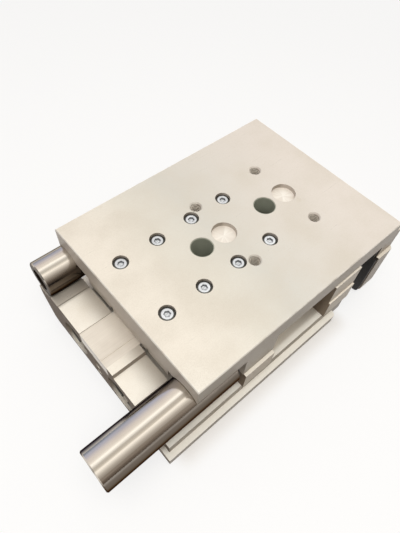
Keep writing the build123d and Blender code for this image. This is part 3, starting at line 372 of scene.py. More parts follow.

# %% [markdown]
# The floors of the two round recesses were turned, so they show fine rings. Streaks like rays on
# them are a painted reflection of the turned surface, and a seed makes the rays of the two
# differ. Each floor darkens towards its wall as painted shade. The plate's upper rim is lighter
# in places, where noise lets it through: partly wear, partly a painted highlight along the edge.
# All are masks over the object's coordinates.

# %% Turned floors and a rim of wear and highlight
RECESS_EDGE, RECESS_FADE = 0.0002, (0.0488, 0.0502)
RING_PHASE, RAY_SEED, RAY_SCALE = 16000.0, 40, 1.6
# The dark tone carries the rings and painted shade; the ray tone is painted reflection.
TURNED_LIGHT, RING_AND_SHADE_TONE, RAY_REFLECTION = rgb(255, 251, 243), rgb(222, 211, 198), rgb(206, 194, 180)
RIM_START, RIM_FULL, RIM_DEPTH = 0.0007, 0.0003, 0.0006


def turned_floor(f, colour, place, cx, cy):
    """Rings, painted shade and painted reflection rays on the floor of the round recess at cx,
    cy.
    """
    x, y, z = place
    away = f.distance(cx, cy, x, y)
    round_floor = 1 - f.band(away, LOCATOR_R - RECESS_EDGE, LOCATOR_R)
    inside = round_floor * (1 - f.band(z, *RECESS_FADE))
    rings = f.node("ShaderNodeMath", {"operation": "SINE"}, {0: away * RING_PHASE}) * 0.5 + 0.5
    spread = {0: (x - cx) / away, 1: (y - cy) / away, 2: cx * RAY_SEED}
    ray = f.node("ShaderNodeCombineXYZ", {}, spread)
    rays = f.node("ShaderNodeTexNoise", {}, {"Vector": ray, "Scale": RAY_SCALE})
    # The rays are a painted reflection of the turned floor.
    reflection_streak = f.band(rays, 0.36, 0.68)
    # The rings are turning marks, and the darkening towards the wall is painted shade.
    tone = f.mix(rings * 0.25 + away * 70.0, TURNED_LIGHT, RING_AND_SHADE_TONE)
    tone = f.mix(reflection_streak * 0.4, tone, RAY_REFLECTION)
    return f.mix(inside, colour, tone)


def rim_wear_and_highlight(f, place):
    """A mask for the places along the upper rim of the table that are worn and carry a painted
    highlight.
    """
    x, y, z = place
    middle, half = (TABLE_REAR + TABLE_FRONT) / 2, (TABLE_FRONT - TABLE_REAR) / 2
    rim = f.band(abs(y), TABLE_HALF - RIM_START, TABLE_HALF - RIM_FULL)
    ends = f.band(abs(x - middle), half - RIM_START, half - RIM_FULL)
    upper = f.band(z, TABLE_TOP - RIM_DEPTH, TABLE_TOP - RIM_FULL)
    return f.greater(rim, ends) * upper * f.band(f.noise(160, detail=3.0), 0.3, 0.55)


print("rings every", round(2 * math.pi / RING_PHASE * 1000, 2), "mm, rim", RIM_START * 1000, "mm")

# %% [markdown]
# The table's tone drifts along its length, partly its own tone and partly painted light and
# shade, and a painted highlight makes it brightest at its near rear corner. Its sides and its
# rear face are given darker tones by the way a face looks: painted shade, so that the plate keeps
# its contrast under soft light. The last three pairs say how squarely a face has to look along Y,
# Z or X before its own tone begins, and where that tone is full.

# %% Table finish
TABLE_TONES = [(0.0, rgb(238, 230, 217)), (0.15, rgb(226, 221, 209)), (0.4, rgb(215, 212, 203)),
               (1.0, rgb(230, 221, 212))]
TABLE_DARK = rgb(214, 205, 190)
# The corner tone is a painted highlight, and the side and back tones are painted shade.
CORNER_HIGHLIGHT, CORNER_FADE = rgb(254, 249, 238), (0.003, 0.017)
RIM_WEAR_HIGHLIGHT, TABLE_SIDE_SHADE, TABLE_BACK_SHADE = rgb(252, 247, 238), rgb(154, 142, 128), rgb(188, 173, 163)
ASIDE, UPWARD, END_ON = (0.6, 0.9), (0.5, 0.9), (0.4, 0.8)


def table_finish():
    """The table's finish: drifting tone with painted light, turned recess floors, a rim of wear
    and painted highlight, and painted shade on its sides.
    """
    f = Finish("anodised_plate")
    place = f.parts(f.place)
    x, y = place[:2]
    # Partly the plate's own tone, partly painted light and shade along its length.
    along = f.band(x + (f.noise(22) - 0.5) * 0.03, TABLE_REAR, TABLE_FRONT)
    light = f.node("ShaderNodeValToRGB", {"stops": TABLE_TONES}, {0: along})
    # Painted highlight at the near rear corner.
    corner = 1 - f.band(f.distance(TABLE_REAR, -TABLE_HALF, x, y), *CORNER_FADE)
    light = f.mix(corner * 0.8, light, CORNER_HIGHLIGHT)
    colour = blasted(f, light, TABLE_DARK, 0.35)
    for cx, cy in LOCATORS:
        colour = turned_floor(f, colour, place, cx, cy)
    # The rim is partly wear and partly a painted highlight along its edge.
    wear_and_highlight = rim_wear_and_highlight(f, place)
    facing_x, facing_y, facing_z = f.parts(f.facing)
    looks_up = f.band(facing_z, *UPWARD)
    # Painted shade on the sides and on the rear face.
    colour = f.mix(f.band(abs(facing_y), *ASIDE) * 0.8, colour, TABLE_SIDE_SHADE)
    colour = f.mix(f.band(facing_x * -1.0, *END_ON) * 0.5, colour, TABLE_BACK_SHADE)
    f.set("Base Color", f.mix(wear_and_highlight * 0.8, colour, RIM_WEAR_HIGHLIGHT))
    f.set("Metallic", looks_up * 0.18 + wear_and_highlight * 0.4)
    f.set("Specular IOR Level", 0.25)
    return f.material


PLATE = table_finish()
print("table finish:", PLATE.name, "with", len(PLATE.node_tree.nodes), "nodes")

# %% [markdown]
# The housing, the blocks and the yoke share one finish with other tones, and much of it is
# painted light and shade. Faces that look up keep the light tones, with painted shade where they
# lie low under the table and on the deck towards the table, and painted light beyond the table's
# edge. The low trough beside the far sleeve carries a painted shadow. Faces that look sideways or
# back get darker tones of painted shade, as on the table. Each fade is a pair of places in metres
# between which one tone gives way to the other.

# %% Body, blocks and yoke
SHELTER_FADE = (TABLE_HALF - 0.003, TABLE_HALF - 0.001)
LOW_FADE = (0.0135, 0.0225)
DECK_FADE = (-0.055, -0.043)
TROUGH_SIDE, TROUGH_END = (0.0265, 0.0285), (-0.045, -0.040)
BODY_TINT = (0.3, 0.26, 0.23, 1.0)


def body_finish(name, light, dark, side, back, metallic):
    """The finish of the housing and the blocks: as the table's, with painted light on top faces
    and painted shade on the others.
    """
    f = Finish(name)
    colour = blasted(f, light, dark, 0.3)
    mill = f.noise(110, (1, 30, 1), detail=2.0)
    colour = f.mix(mill * 0.25, colour, dark)
    x, y, z = f.parts(f.place)
    sheltered = 1 - f.band(abs(y), *SHELTER_FADE)
    low = 1 - f.band(z, *LOW_FADE)
    # Painted shade on low faces under the table.
    colour = f.mix(sheltered * low * 0.3, colour, dark)
    # Painted shade on the deck towards the table.
    deck_shade = f.band(x, *DECK_FADE) * (1 - low) * sheltered
    colour = f.mix(deck_shade * 0.5, colour, side)
    # Painted light on faces beyond the table's edge.
    colour = f.mix((1 - sheltered) * 0.8, colour, light)
    # Painted shadow of the far sleeve in the low trough.
    trough_shadow = f.band(y, *TROUGH_SIDE) * (1 - f.band(x, *TROUGH_END))
    colour = f.mix(trough_shadow * 0.55, colour, side)
    facing = f.parts(f.facing)
    looks_up = f.band(facing[2], *UPWARD)
    looks_back = f.band(facing[0] * -1.0, *END_ON)
    # Painted shade: faces that don't look up take the side tone, faces that look back the back
    # tone, and faces that look forward keep part of the lit tone.
    side = f.mix(f.band(facing[0], *END_ON) * 0.6, side, colour)
    side = f.mix(looks_back, side, back)
    f.set("Base Color", f.mix((1 - looks_up) * 0.9, colour, side))
    f.set("Metallic", looks_up * sheltered * metallic + looks_back * 0.8)
    f.set("Specular Tint", BODY_TINT)
    f.set("Specular IOR Level", 0.2)
    return f.material


# The last two tones of each finish are painted shade, for the sides and for the back.
BODY = body_finish("anodised_body", rgb(255, 251, 241), rgb(236, 226, 210), rgb(142, 129, 115),
                   rgb(112, 99, 89), 0.5)
BLOCK = body_finish("milled_blocks", rgb(250, 243, 230), rgb(220, 209, 193), rgb(192, 179, 163),
                    rgb(122, 109, 98), 0.15)
YOKE = body_finish("milled_yoke", rgb(244, 236, 222), rgb(214, 202, 186), rgb(160, 147, 133),
                   rgb(128, 114, 102), 0.3)
print("anodised finishes:", BODY.name, BLOCK.name, YOKE.name)

# %% [markdown]
# Steel that was ground shows fine lines along the stroke of the wheel. The same lines and a soft
# cloud make the rail, the screws, the walls of their sockets and the dark steel, each with its
# own tones, stretch and shine. The darker tones of the socket walls and of the dark steel on the
# screws' sides are painted shade, and the same dark steel is the own tone of the rings and
# magnets.

# %% Ground steel


def ground_steel(name, light, dark, stretch, roughness, metallic):
    """Steel with fine lines, long where the stretch is small."""
    f = Finish(name)
    lines = f.noise(60, stretch, detail=3.0)
    cloud = f.band(f.noise(70, detail=3.0), 0.35, 0.7)
    f.set("Base Color", f.mix(lines * 0.7 + cloud * 0.3, light, dark))
    f.set("Metallic", metallic)
    f.set("Roughness", roughness + (lines - 0.5) * 0.25 + cloud * 0.05)
    f.set("Normal", f.bump(lines, 0.3, 0.00001))
    return f.material


RAIL = ground_steel("ground_rail", rgb(242, 234, 222), rgb(212, 202, 188), (1, 60, 60),
                    0.34, 0.35)
SCREW = ground_steel("screw_steel", rgb(229, 231, 234), rgb(192, 196, 200), (8, 8, 30),
                     0.26, 0.85)
# Painted shade: the socket walls' darker steel, and the dark steel on the screws' sides.
SOCKET = ground_steel("socket_steel", rgb(178, 180, 183), rgb(138, 140, 143), (8, 8, 30),
                      0.34, 0.7)
SHADE = ground_steel("blackened_steel", rgb(124, 124, 120), rgb(84, 84, 81), (8, 8, 8),
                     0.42, 0.7)
print("ground steels:", RAIL.name, SCREW.name, SOCKET.name, SHADE.name)

# %% [markdown]
# A chromed tube shows faint rings from the lathe, thin scratches along it and a haze under a
# mirror-like coat. A metal's Specular Tint is its tone at a low angle, and a dark one draws the
# thin dark lines along both edges of a tube. The sleeves' undersides carry a painted reflection,
# brown, and blue-grey where the tube looks along Y. The painted reflection fades by height, in
# radii from the tube's axis.

# %% Chromed tubes
sleeve_low, sleeve_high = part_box("front_stop_sleeve")
SLEEVE_AXIS_Z = (sleeve_low[2] + sleeve_high[2]) / 2
SLEEVE_R = (sleeve_high[2] - sleeve_low[2]) / 2
CHROME_LIGHT, CHROME_DARK, SCRATCH = rgb(216, 208, 197), rgb(203, 194, 182), rgb(168, 154, 138)
# Painted reflection tones for the sleeves' undersides.
REFLECTED_BROWN, REFLECTED_BLUE = rgb(110, 101, 92), rgb(96, 98, 108)
REFLECTION_FADE, REFLECTION_SHIFT = (0.46, 0.78), 0.17
EDGE_TINT = (0.21, 0.185, 0.165, 1.0)


def chrome(name, reflected_underside=False):
    """Polished tube: lathe rings, scratches along it, a thin haze, and a painted reflection
    underneath.
    """
    f = Finish(name)
    rings = f.noise(900, (1, 0.05, 0.05), detail=2.0)
    lines = f.band(f.noise(120, (0.06, 5, 5), detail=3.0), 0.56, 0.66)
    haze = f.band(f.noise(60, detail=4.0), 0.4, 0.75)
    colour = f.mix(haze * 0.5, CHROME_LIGHT, CHROME_DARK)
    colour = f.mix(lines * 0.35, colour, SCRATCH)
    if reflected_underside:
        # Painted reflection on the underside, fading by height, blue-grey where the tube looks
        # along Y.
        along_y = f.greater(f.parts(f.facing)[1], 0.0)
        height = (f.parts(f.place)[2] - SLEEVE_AXIS_Z) * (1 / SLEEVE_R) - along_y * REFLECTION_SHIFT
        painted_reflection = 1 - f.band(height + (haze - 0.5) * 0.06, *REFLECTION_FADE)
        colour = f.mix(painted_reflection, colour, f.mix(along_y, REFLECTED_BROWN, REFLECTED_BLUE))
    f.set("Base Color", colour)
    f.set("Metallic", 1.0)
    f.set("Roughness", 0.13 + haze * 0.04 + lines * 0.08)
    f.set("Normal", f.bump(rings, 0.2, 0.000004))
    f.set("Specular Tint", EDGE_TINT)
    return f.material


CHROME = chrome("chromed_rod")
SLEEVE = chrome("chromed_sleeve", reflected_underside=True)
print("chromed:", CHROME.name, SLEEVE.name, "of radius", round(SLEEVE_R, 4))

# %% [markdown]
# In a cut thread the crests get a painted highlight and the roots painted shade. Where a spot
# lies between the two is kept on the thread's own mesh, as an attribute named crest that is
# filled in when the thread is modelled, so the finish follows the ridge wherever the hole is.

# %% Cut thread
ROOT_SHADE, CREST_HIGHLIGHT, THREAD_GRIT = rgb(152, 138, 124), rgb(252, 246, 234), rgb(150, 134, 116)


def cut_thread():
    """Painted highlight on crests and painted shade in roots, told apart by the piece's own crest
    attribute.
    """
    f = Finish("cut_thread")
    crest = f.node("ShaderNodeAttribute", {"attribute_name": "crest"}, out="Fac")
    speck = f.noise(1500, detail=2.0)
    # Painted highlight on the crests, painted shade in the roots.
    colour = f.mix(f.band(crest, 0.35, 0.9), ROOT_SHADE, CREST_HIGHLIGHT)
    f.set("Base Color", f.mix(speck * 0.2, colour, THREAD_GRIT))
    f.set("Metallic", 0.2)
    f.set("Roughness", 0.32 + speck * 0.15)
    f.set("Normal", f.bump(speck, 0.3, 0.00001))
    return f.material


THREAD = cut_thread()
print("thread finish:", THREAD.name)

# %% [markdown]
# The pad at the end plate and the seals are black rubber: nearly matt, with a fine grain and a
# little dust on it. Plugs, caps and the hole liners get the same recipe in other tones, and the
# liners' grey-green is painted shade.

# %% Rubber and plastic
RUBBER_ROUGHNESS, PLASTIC_ROUGHNESS = 0.62, 0.5


def rubber(name, colour, dust, roughness):
    """A nearly matt tone with a fine grain and thin dust."""
    f = Finish(name)
    grain = f.noise(1800, detail=2.0)
    cloud = f.band(f.noise(60, detail=4.0), 0.45, 0.75)
    f.set("Base Color", f.mix(cloud * 0.35 + grain * 0.1, colour, dust))
    f.set("Roughness", roughness + (grain - 0.5) * 0.2)
    f.set("Normal", f.bump(grain, 0.4, 0.00004))
    return f.material


BLACK = rubber("black_rubber", rgb(30, 28, 27), rgb(70, 64, 58), RUBBER_ROUGHNESS)
PLASTIC = rubber("brown_plastic", rgb(96, 82, 70), rgb(128, 114, 100), PLASTIC_ROUGHNESS)
# The liners' grey-green is painted shade for the dark inside the through holes.
HOLE_SHADE_LINER = rubber("dark_liner", rgb(162, 165, 150), rgb(176, 178, 163), PLASTIC_ROUGHNESS)
print("matt finishes:", BLACK.name, PLASTIC.name, HOLE_SHADE_LINER.name)

# %% [markdown]
# Each CAD node gets the finish of what it is made of, and a node that isn't listed gets the
# screws' steel. Its own mesh stays as it is: only the material in its slot changes.

# %% Finishes on the CAD nodes
FINISHES = {
    "table_plate": PLATE, "yoke_plate": YOKE, "housing": BODY, "gland_plate": BLOCK,
    "side_wall": BLOCK, "front_corner_block": BLOCK, "rear_stop_block": BLOCK,
    "sleeve_saddle": BLOCK, "bore_end_caps": BLOCK, "pistons": BLOCK, "guide_rail": RAIL,
    "carriage": RAIL, "front_stop_sleeve": SLEEVE, "rear_stop_sleeve": SLEEVE,
    "piston_rods": CHROME, "load_balls": CHROME, "rod_bushes": RAIL,
    "front_sleeve_plug": PLASTIC, "rear_sleeve_plug": PLASTIC, "yoke_pad": BLACK,
    "front_stop_buffer": BLACK, "rear_stop_buffer": BLACK, "end_cap_seals": BLACK,
    "rod_seals": BLACK, "rod_wipers": BLACK, "piston_seals": BLACK, "end_cap_rings": SHADE,
    "piston_magnets": SHADE, "carriage_cap_rear": PLASTIC, "carriage_cap_front": PLASTIC,
}


def dress(piece, material):
    """The material in every slot of a CAD node or a new piece."""
    slots = piece.data.materials
    for i in range(len(slots)):
        slots[i] = material
    if not len(slots):
        slots.append(material)


for name, node in nodes.items():
    dress(node, FINISHES.get(name, SCREW))
    node.select_set(False)
print("finished nodes:", len(nodes), "of which", len(FINISHES), "by name")

# %% [markdown]
# The new pieces are modelled as by hand. A primitive is added at its size and place, faces are
# picked in code by where they are, and operators shape what is picked. An operator acts on all
# that is selected, so these helpers start a piece with nothing else selected, open and close
# edit mode, and pick its parts. Two small distances say how near is near when parts are picked.

# %% Start and edit a piece
NEAR, TOUCH = 0.0001, 0.00001


def start_piece(add, name, **settings):
    """A primitive as the only selected and active object."""
    bpy.ops.object.select_all(action="DESELECT")
    add(**settings)
    piece = bpy.context.active_object
    piece.name = piece.data.name = name
    return piece


def alone(piece):
    """Only this piece is selected and active."""
    bpy.ops.object.select_all(action="DESELECT")
    piece.select_set(True)
    bpy.context.view_layer.objects.active = piece


def open_edit(piece, kind="FACE"):
    """Edit mode with nothing picked."""
    alone(piece)
    bpy.ops.object.mode_set(mode="EDIT")
    bpy.ops.mesh.select_mode(type=kind)
    bpy.ops.mesh.select_all(action="DESELECT")


def close_edit():
    """Back to object mode, with the edits kept."""
    bpy.ops.object.mode_set(mode="OBJECT")


def pick(piece, test, parts="faces"):
    """Pick the faces or the verts whose middle passes a test."""
    mesh = bmesh.from_edit_mesh(piece.data)
    for part in getattr(mesh, parts):
        part.select_set(False)
    for part in getattr(mesh, parts):
        middle = part.calc_center_median() if parts == "faces" else part.co
        if test(middle):
            part.select_set(True)
    bmesh.update_edit_mesh(piece.data)


print("parts are picked within", NEAR * 1000, "mm")

# %% [markdown]
# A finished piece has its place in its mesh and its object at the origin, as the CAD nodes have.
# So a move is applied straight away, and so is each modifier. What repeats is modelled once and
# copied, each copy with its own mesh, and the first model is then removed.

# %% Finish and copy a piece


def settle(piece):
    """The object's own move, turn and scale go into its mesh."""
    alone(piece)
    bpy.ops.object.transform_apply(location=True, rotation=True, scale=True)


def modify(piece, kind, **settings):
    """A modifier that is added and applied."""
    alone(piece)
    modifier = piece.modifiers.new(kind.lower(), kind)
    for key, value in settings.items():
        setattr(modifier, key, value)
    bpy.ops.object.modifier_apply(modifier=modifier.name)


def smooth(piece, degrees):
    """Smooth shading, except across edges sharper than this angle."""
    alone(piece)
    bpy.ops.object.shade_smooth_by_angle(angle=math.radians(degrees))


def copied(piece, name, place, turn):
    """A copy with its own mesh, turned and moved from the origin to its place."""
    twin = piece.copy()
    twin.data = piece.data.copy()
    twin.name = twin.data.name = name
    bpy.context.scene.collection.objects.link(twin)
    twin.rotation_euler = turn
    twin.location = place
    settle(twin)
    return twin


def clear(piece):
    """The model that copies were made from goes away."""
    bpy.data.objects.remove(piece)


# %% [markdown]
# The eight screws in the table are M4 socket head cap screws. The hexagon socket is cut with a
# six-sided tool, because a round face has no six corners. The tool starts as a short prism
# below the face. Its top is extruded and widened for the socket's flared mouth, and its bottom
# is drawn to a point, as a drill leaves it.

# %% Socket cutter
SOCKET_R, SOCKET_DEPTH = 0.00150, 0.0012
MOUTH_DEPTH, MOUTH_FLARE = 0.0002, 1.22
POINT_DEPTH, POINT_SHARE = 0.0004, 0.12


def socket_tool():
    """Hexagon cutter with a flared mouth and a drill point."""
    tool = start_piece(bpy.ops.mesh.primitive_cylinder_add, "socket_tool", vertices=6,
                       radius=SOCKET_R, depth=SOCKET_DEPTH,
                       location=(0, 0, -SOCKET_DEPTH / 2 - MOUTH_DEPTH))
    settle(tool)
    open_edit(tool)
    pick(tool, lambda m: m.z > -MOUTH_DEPTH - NEAR)
    bpy.ops.mesh.extrude_region_move(TRANSFORM_OT_translate={"value": (0, 0, 2 * MOUTH_DEPTH)})
    bpy.ops.transform.resize(value=(MOUTH_FLARE, MOUTH_FLARE, 1))
    pick(tool, lambda m: m.z < -SOCKET_DEPTH)
    bpy.ops.mesh.extrude_region_move(TRANSFORM_OT_translate={"value": (0, 0, -POINT_DEPTH)})
    bpy.ops.transform.resize(value=(POINT_SHARE, POINT_SHARE, 1))
    close_edit()
    return tool


print("socket:", round(SOCKET_R * math.sqrt(3) * 1000, 2), "mm across its flats")

# %% [markdown]
# A turned head has a flat bright face, a shoulder that slopes to the side, and a knurl round the
# side. Each side face is inset and pushed in for the knurl. The face is an inset of the top, and
# its rim is then lowered. The shank grows from the underside. The side, the shoulder and the
# shank get dark steel as painted shade, the socket's walls a darker steel as painted shade too,
# and the face keeps the bright steel.

# %% One cap screw
HEAD_R, HEAD_H, HEAD_SIDES = 0.00345, 0.0040, 48
FACE_R, SHOULDER_DROP = 0.0025, 0.00055
KNURL_INSET, KNURL_DEPTH = 0.00007, 0.00009
SHANK_R, SHANK_LENGTH = 0.00197, 0.0141
TIP_LENGTH, TIP_SHARE = 0.0004, 0.8
HEAD_BEVEL = 0.00006
DARK_SLOT, SOCKET_SLOT = 1, 2


def turned_head():
    """Head with its knurl, shoulder and shank, its face at the origin."""
    head = start_piece(bpy.ops.mesh.primitive_cylinder_add, "cap_screw", vertices=HEAD_SIDES,
                       radius=HEAD_R, depth=HEAD_H, location=(0, 0, -HEAD_H / 2))
    settle(head)
    open_edit(head)
    pick(head, lambda m: abs(math.hypot(m.x, m.y) - HEAD_R) < NEAR)
    bpy.ops.mesh.inset(use_individual=True, thickness=KNURL_INSET, depth=-KNURL_DEPTH)
    pick(head, lambda m: m.z > -TOUCH)
    bpy.ops.mesh.inset(thickness=HEAD_R - FACE_R)
    pick(head, lambda m: m.z > -TOUCH and math.hypot(m.x, m.y) > HEAD_R - NEAR, "verts")
    bpy.ops.transform.translate(value=(0, 0, -SHOULDER_DROP))
    bpy.ops.mesh.select_mode(type="FACE")
    pick(head, lambda m: m.z < -HEAD_H + TOUCH)
    bpy.ops.mesh.inset(thickness=HEAD_R - SHANK_R)
    for length in (SHANK_LENGTH - TIP_LENGTH, TIP_LENGTH):
        bpy.ops.mesh.extrude_region_move(TRANSFORM_OT_translate={"value": (0, 0, -length)})
    bpy.ops.transform.resize(value=(TIP_SHARE, TIP_SHARE, 1))
    close_edit()
    return head


def cap_screw():
    """Socket head cap screw with its face at the origin."""
    head = turned_head()
    tool = socket_tool()
    modify(head, "BOOLEAN", operation="DIFFERENCE", object=tool, solver="EXACT")
    clear(tool)
    modify(head, "BEVEL", width=HEAD_BEVEL, segments=2, limit_method="ANGLE",
           angle_limit=math.radians(25))
    smooth(head, 35)
    dress(head, SCREW)
    head.data.materials.append(SHADE)
    head.data.materials.append(SOCKET)
    # Painted shade: the side, shoulder and shank take the dark steel, and the socket's walls the
    # darker socket steel.
    for face in head.data.polygons:
        m = face.center
        away = math.hypot(m.x, m.y)
        if away > FACE_R + 2 * HEAD_BEVEL or m.z < -HEAD_H:
            face.material_index = DARK_SLOT
        elif away < SOCKET_R and -SOCKET_DEPTH < m.z < -MOUTH_DEPTH:
            face.material_index = SOCKET_SLOT
    return head


pattern_screw = cap_screw()
print("one cap screw:", len(pattern_screw.data.polygons), "faces")

# %% [markdown]
# The screws stand in two rows of four, in counterbores of the table, and each is turned a bit
# further than the last, as nobody lines up sockets. Together they replace the plain CAD node,
# which stays in the motion model.

# %% Eight screws in the table
SCREW_FIRST_X, SCREW_PITCH, SCREW_Y, SCREW_TOP = -0.0312, 0.020, 0.016, 0.0501
SCREW_TURN = 0.37
screw_spots = [(SCREW_FIRST_X + SCREW_PITCH * i, side * SCREW_Y)
               for i in range(4) for side in (-1, 1)]
for i, (x, y) in enumerate(screw_spots):
    turn = (0, 0, SCREW_TURN * i)
    screw = copied(pattern_screw, f"table_screw_{i + 1}", (x, y, SCREW_TOP), turn)
    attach(screw, "table_group")
    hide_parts("table_screws")
clear(pattern_screw)
print("cap screws in the table:", len(screw_spots))

# %% [markdown]
# The CAD holes are plain, at the size of the tap drill. A real thread is one ridge that winds
# down the wall, so its profile is a small pointed corner that the Screw modifier turns and
# lowers by one pitch at a time. The ends are cut flat, and Solidify gives it a thickness. Last,
# each point's height on the ridge is kept for the finish.

# %% One thread
WALL_ROOM = 0.00006
THREAD_STEPS, THREAD_WALL = 40, 0.00004
SEAM_WELD, DOUBLES = 0.000005, 0.000004


def thread_ridge(name, radius, pitch, rise):
    """The ridge's pointed profile, a hair inside the wall of a hole."""
    ridge = start_piece(bpy.ops.mesh.primitive_plane_add, name, size=pitch / math.sqrt(2),
                        location=(radius - WALL_ROOM, 0, 0),
                        rotation=(math.pi / 2, math.pi / 4, 0))
    settle(ridge)
    open_edit(ridge, "VERT")
    pick(ridge, lambda m: m.x > radius, "verts")
    bpy.ops.mesh.delete(type="VERT")
    pick(ridge, lambda m: m.x < radius - NEAR, "verts")
    bpy.ops.transform.translate(value=(pitch / 2 - rise, 0, 0))
    close_edit()
    return ridge


def thread_liner(name, radius, pitch, rise, depth):
    """Wound thread inside a hole of this radius, from the origin down to depth."""
    ridge = thread_ridge(name, radius, pitch, rise)
    modify(ridge, "SCREW", angle=2 * math.pi, screw_offset=-pitch,
           iterations=int(depth / pitch) + 2, steps=THREAD_STEPS, render_steps=THREAD_STEPS,
           use_merge_vertices=True, merge_threshold=SEAM_WELD)
    for height, side in ((0.0, 1), (-depth, -1)):
        open_edit(ridge, "VERT")
        bpy.ops.mesh.select_all(action="SELECT")
        bpy.ops.mesh.remove_doubles(threshold=DOUBLES)
        bpy.ops.mesh.bisect(plane_co=(0, 0, height), plane_no=(0, 0, side), clear_outer=True)
        close_edit()
    open_edit(ridge)
    bpy.ops.mesh.select_all(action="SELECT")
    bpy.ops.mesh.normals_make_consistent(inside=False)
    close_edit()
    modify(ridge, "SOLIDIFY", thickness=THREAD_WALL, offset=0.0)
    crest = ridge.data.attributes.new("crest", "FLOAT", "POINT")
    for point, value in zip(ridge.data.vertices, crest.data):
        inward = radius - math.hypot(point.co.x, point.co.y)
        value.value = min(1.0, max(0.0, inward / rise))
    smooth(ridge, 30)
    dress(ridge, THREAD)
    return ridge


print("a thread stands", round(WALL_ROOM * 1000, 2), "mm off its wall")

# %% [markdown]
# Four M6 threads open in the table's face, four in the base, and two small ones are the air
# ports in the rear face. Each kind is wound once along Z, and its copies are turned to where
# their holes point. They ride on the piece that they are cut in.

# %% Threads in their holes
M6_TAP = (0.00255, 0.001, 0.00032)
M5_TAP = (0.0021, 0.0008, 0.00026)
# Each row gives the body, the tap's radius, pitch and rise, the depth, the turn and the places.
TAPPED = {
    "table_thread": ("table_group", M6_TAP, 0.0110, (0, 0, 0),
                     [(x, y, 0.0503) for x in (0.015, 0.055) for y in (-0.020, 0.020)]),
    "base_thread": ("housing_group", M6_TAP, 0.0070, (math.pi, 0, 0),
                    [(x, y, 0.0008) for x in (-0.040, 0.040) for y in (-0.032, 0.032)]),
    "port_thread": ("housing_group", M5_TAP, 0.0080, (0, -math.pi / 2, 0),
                    [(-0.0596, 0, z) for z in (0.0050, 0.0115)]),
}
for name, (body, tap, depth, turn, spots) in TAPPED.items():
    pattern = thread_liner(name, *tap, depth)
    for i, spot in enumerate(spots):
        liner = copied(pattern, f"{name}_{i + 1}", spot, turn)
        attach(liner, body)
    print(name, len(spots), "of", len(pattern.data.polygons), "faces each")
    clear(pattern)

# %% [markdown]
# The two through holes in the table look dark green-grey right up to their rims. Each has a thin
# liner with two shallow grooves, and its grey-green tone is painted shade for the dark inside the
# hole. It stays open below, because a key passes through it. One more cut just under the mouth
# keeps the soft shading of the rim short.

# %% Hole liners
ACCESS_R = mounts["access_near"]["dims"]["r_mm"] / 1000
LINER_TOP, LINER_WALL, LINER_BEVEL = 0.05085, 0.00035, 0.0001
LINER_SIDES = 72
MOUTH_CUT = 0.0006
GROOVES = ((0.0030, 0.0033), (0.0060, 0.0063))
GROOVE_SHARE = 0.985


def hole_liner(name, x, foot):
    """Thin liner in a through hole whose grey-green is painted shade, from its foot up to just
    under the table's face.
    """
    tube = start_piece(bpy.ops.mesh.primitive_cylinder_add, name, vertices=LINER_SIDES,
                       radius=ACCESS_R - WALL_ROOM, depth=LINER_TOP - foot,
                       end_fill_type="NOTHING", location=(x, 0, (foot + LINER_TOP) / 2))
    settle(tube)
    for depth in (MOUTH_CUT, *GROOVES[0], *GROOVES[1]):
        open_edit(tube)
        bpy.ops.mesh.select_all(action="SELECT")
        bpy.ops.mesh.bisect(plane_co=(0, 0, LINER_TOP - depth), plane_no=(0, 0, 1))
        close_edit()
    for upper, lower in GROOVES:
        open_edit(tube)
        pick(tube, lambda m: LINER_TOP - lower - TOUCH < m.z < LINER_TOP - upper + TOUCH)
        bpy.ops.transform.resize(value=(GROOVE_SHARE, GROOVE_SHARE, 1),
                                 center_override=(x, 0, LINER_TOP))
        close_edit()
    modify(tube, "SOLIDIFY", thickness=LINER_WALL, offset=-1.0)
    modify(tube, "BEVEL", width=LINER_BEVEL, segments=2, limit_method="ANGLE",
           angle_limit=math.radians(40))
    smooth(tube, 35)
    dress(tube, HOLE_SHADE_LINER)
    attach(tube, "table_group")
    return tube


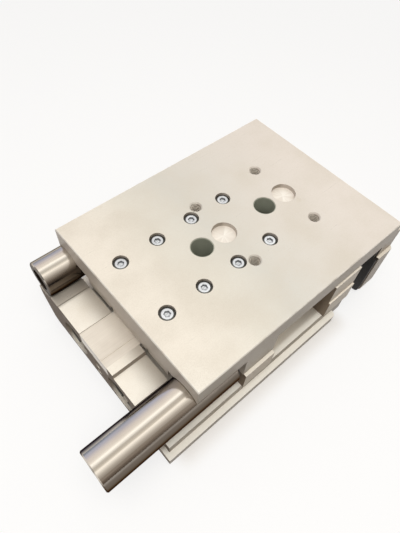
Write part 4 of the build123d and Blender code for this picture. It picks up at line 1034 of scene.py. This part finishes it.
for side, foot in (("near", 0.0290), ("far", 0.0392)):
    made = hole_liner(f"access_liner_{side}", mounts[f"access_{side}"]["pos_m"][0], foot)
    print(made.name, len(made.data.polygons), "faces")

# %% [markdown]
# The floor is plain and pale. Light Path makes it read as white for the camera and in the
# metal's reflections, while part of its own shade stays near the slide, for the shadow. Right
# under the slide nearly all of its own shade stays, so no gap glows.

# %% Floor
FLOOR_SIZE = 12.0
FLOOR_TONE, FLOOR_PALE = rgb(158, 153, 146), rgb(250, 248, 246)
FLOOR_GLOW, SHADOW_REACH = 0.72, 0.25
UNDER_X, UNDER_Y, UNDER_SHADE = (0.050, 0.060), (0.054, 0.064), 0.85


def studio_floor():
    """A pale floor that stands under the slide."""
    floor = start_piece(bpy.ops.mesh.primitive_plane_add, "floor", size=FLOOR_SIZE,
                        location=(0, 0, cad_low.z))
    f = Finish("pale_floor")
    camera_ray, glossy_ray, clear_ray = (
        f.node("ShaderNodeLightPath", out=kind)
        for kind in ("Is Camera Ray", "Is Glossy Ray", "Is Transmission Ray")
    )
    seen = camera_ray + glossy_ray + clear_ray
    f.set("Base Color", f.mix(seen, FLOOR_TONE, FLOOR_PALE))
    x, y = f.parts(f.place)[:2]
    far = f.band(f.distance(0.0, 0.0, x, y), SHADOW_REACH, 4 * SHADOW_REACH)
    under = (1 - f.band(abs(x), *UNDER_X)) * (1 - f.band(abs(y), *UNDER_Y))
    f.set("Roughness", 0.9)
    f.set("Specular IOR Level", 0.0)
    glow = f.node("ShaderNodeEmission", {}, {"Color": WHITE, "Strength": 1.0})
    share = (FLOOR_GLOW + far * (1 - FLOOR_GLOW)) * (1 - under * UNDER_SHADE)
    own = Socket(f, f.shader.outputs[0])
    both = f.node("ShaderNodeMixShader", {}, {0: seen * share, 1: own, 2: glow})
    f.join(f.nodes["Material Output"].inputs["Surface"], both)
    dress(floor, f.material)
    return floor


print("floor:", studio_floor().name, "of", FLOOR_SIZE, "m")
bpy.context.scene.view_settings.view_transform = "Standard"
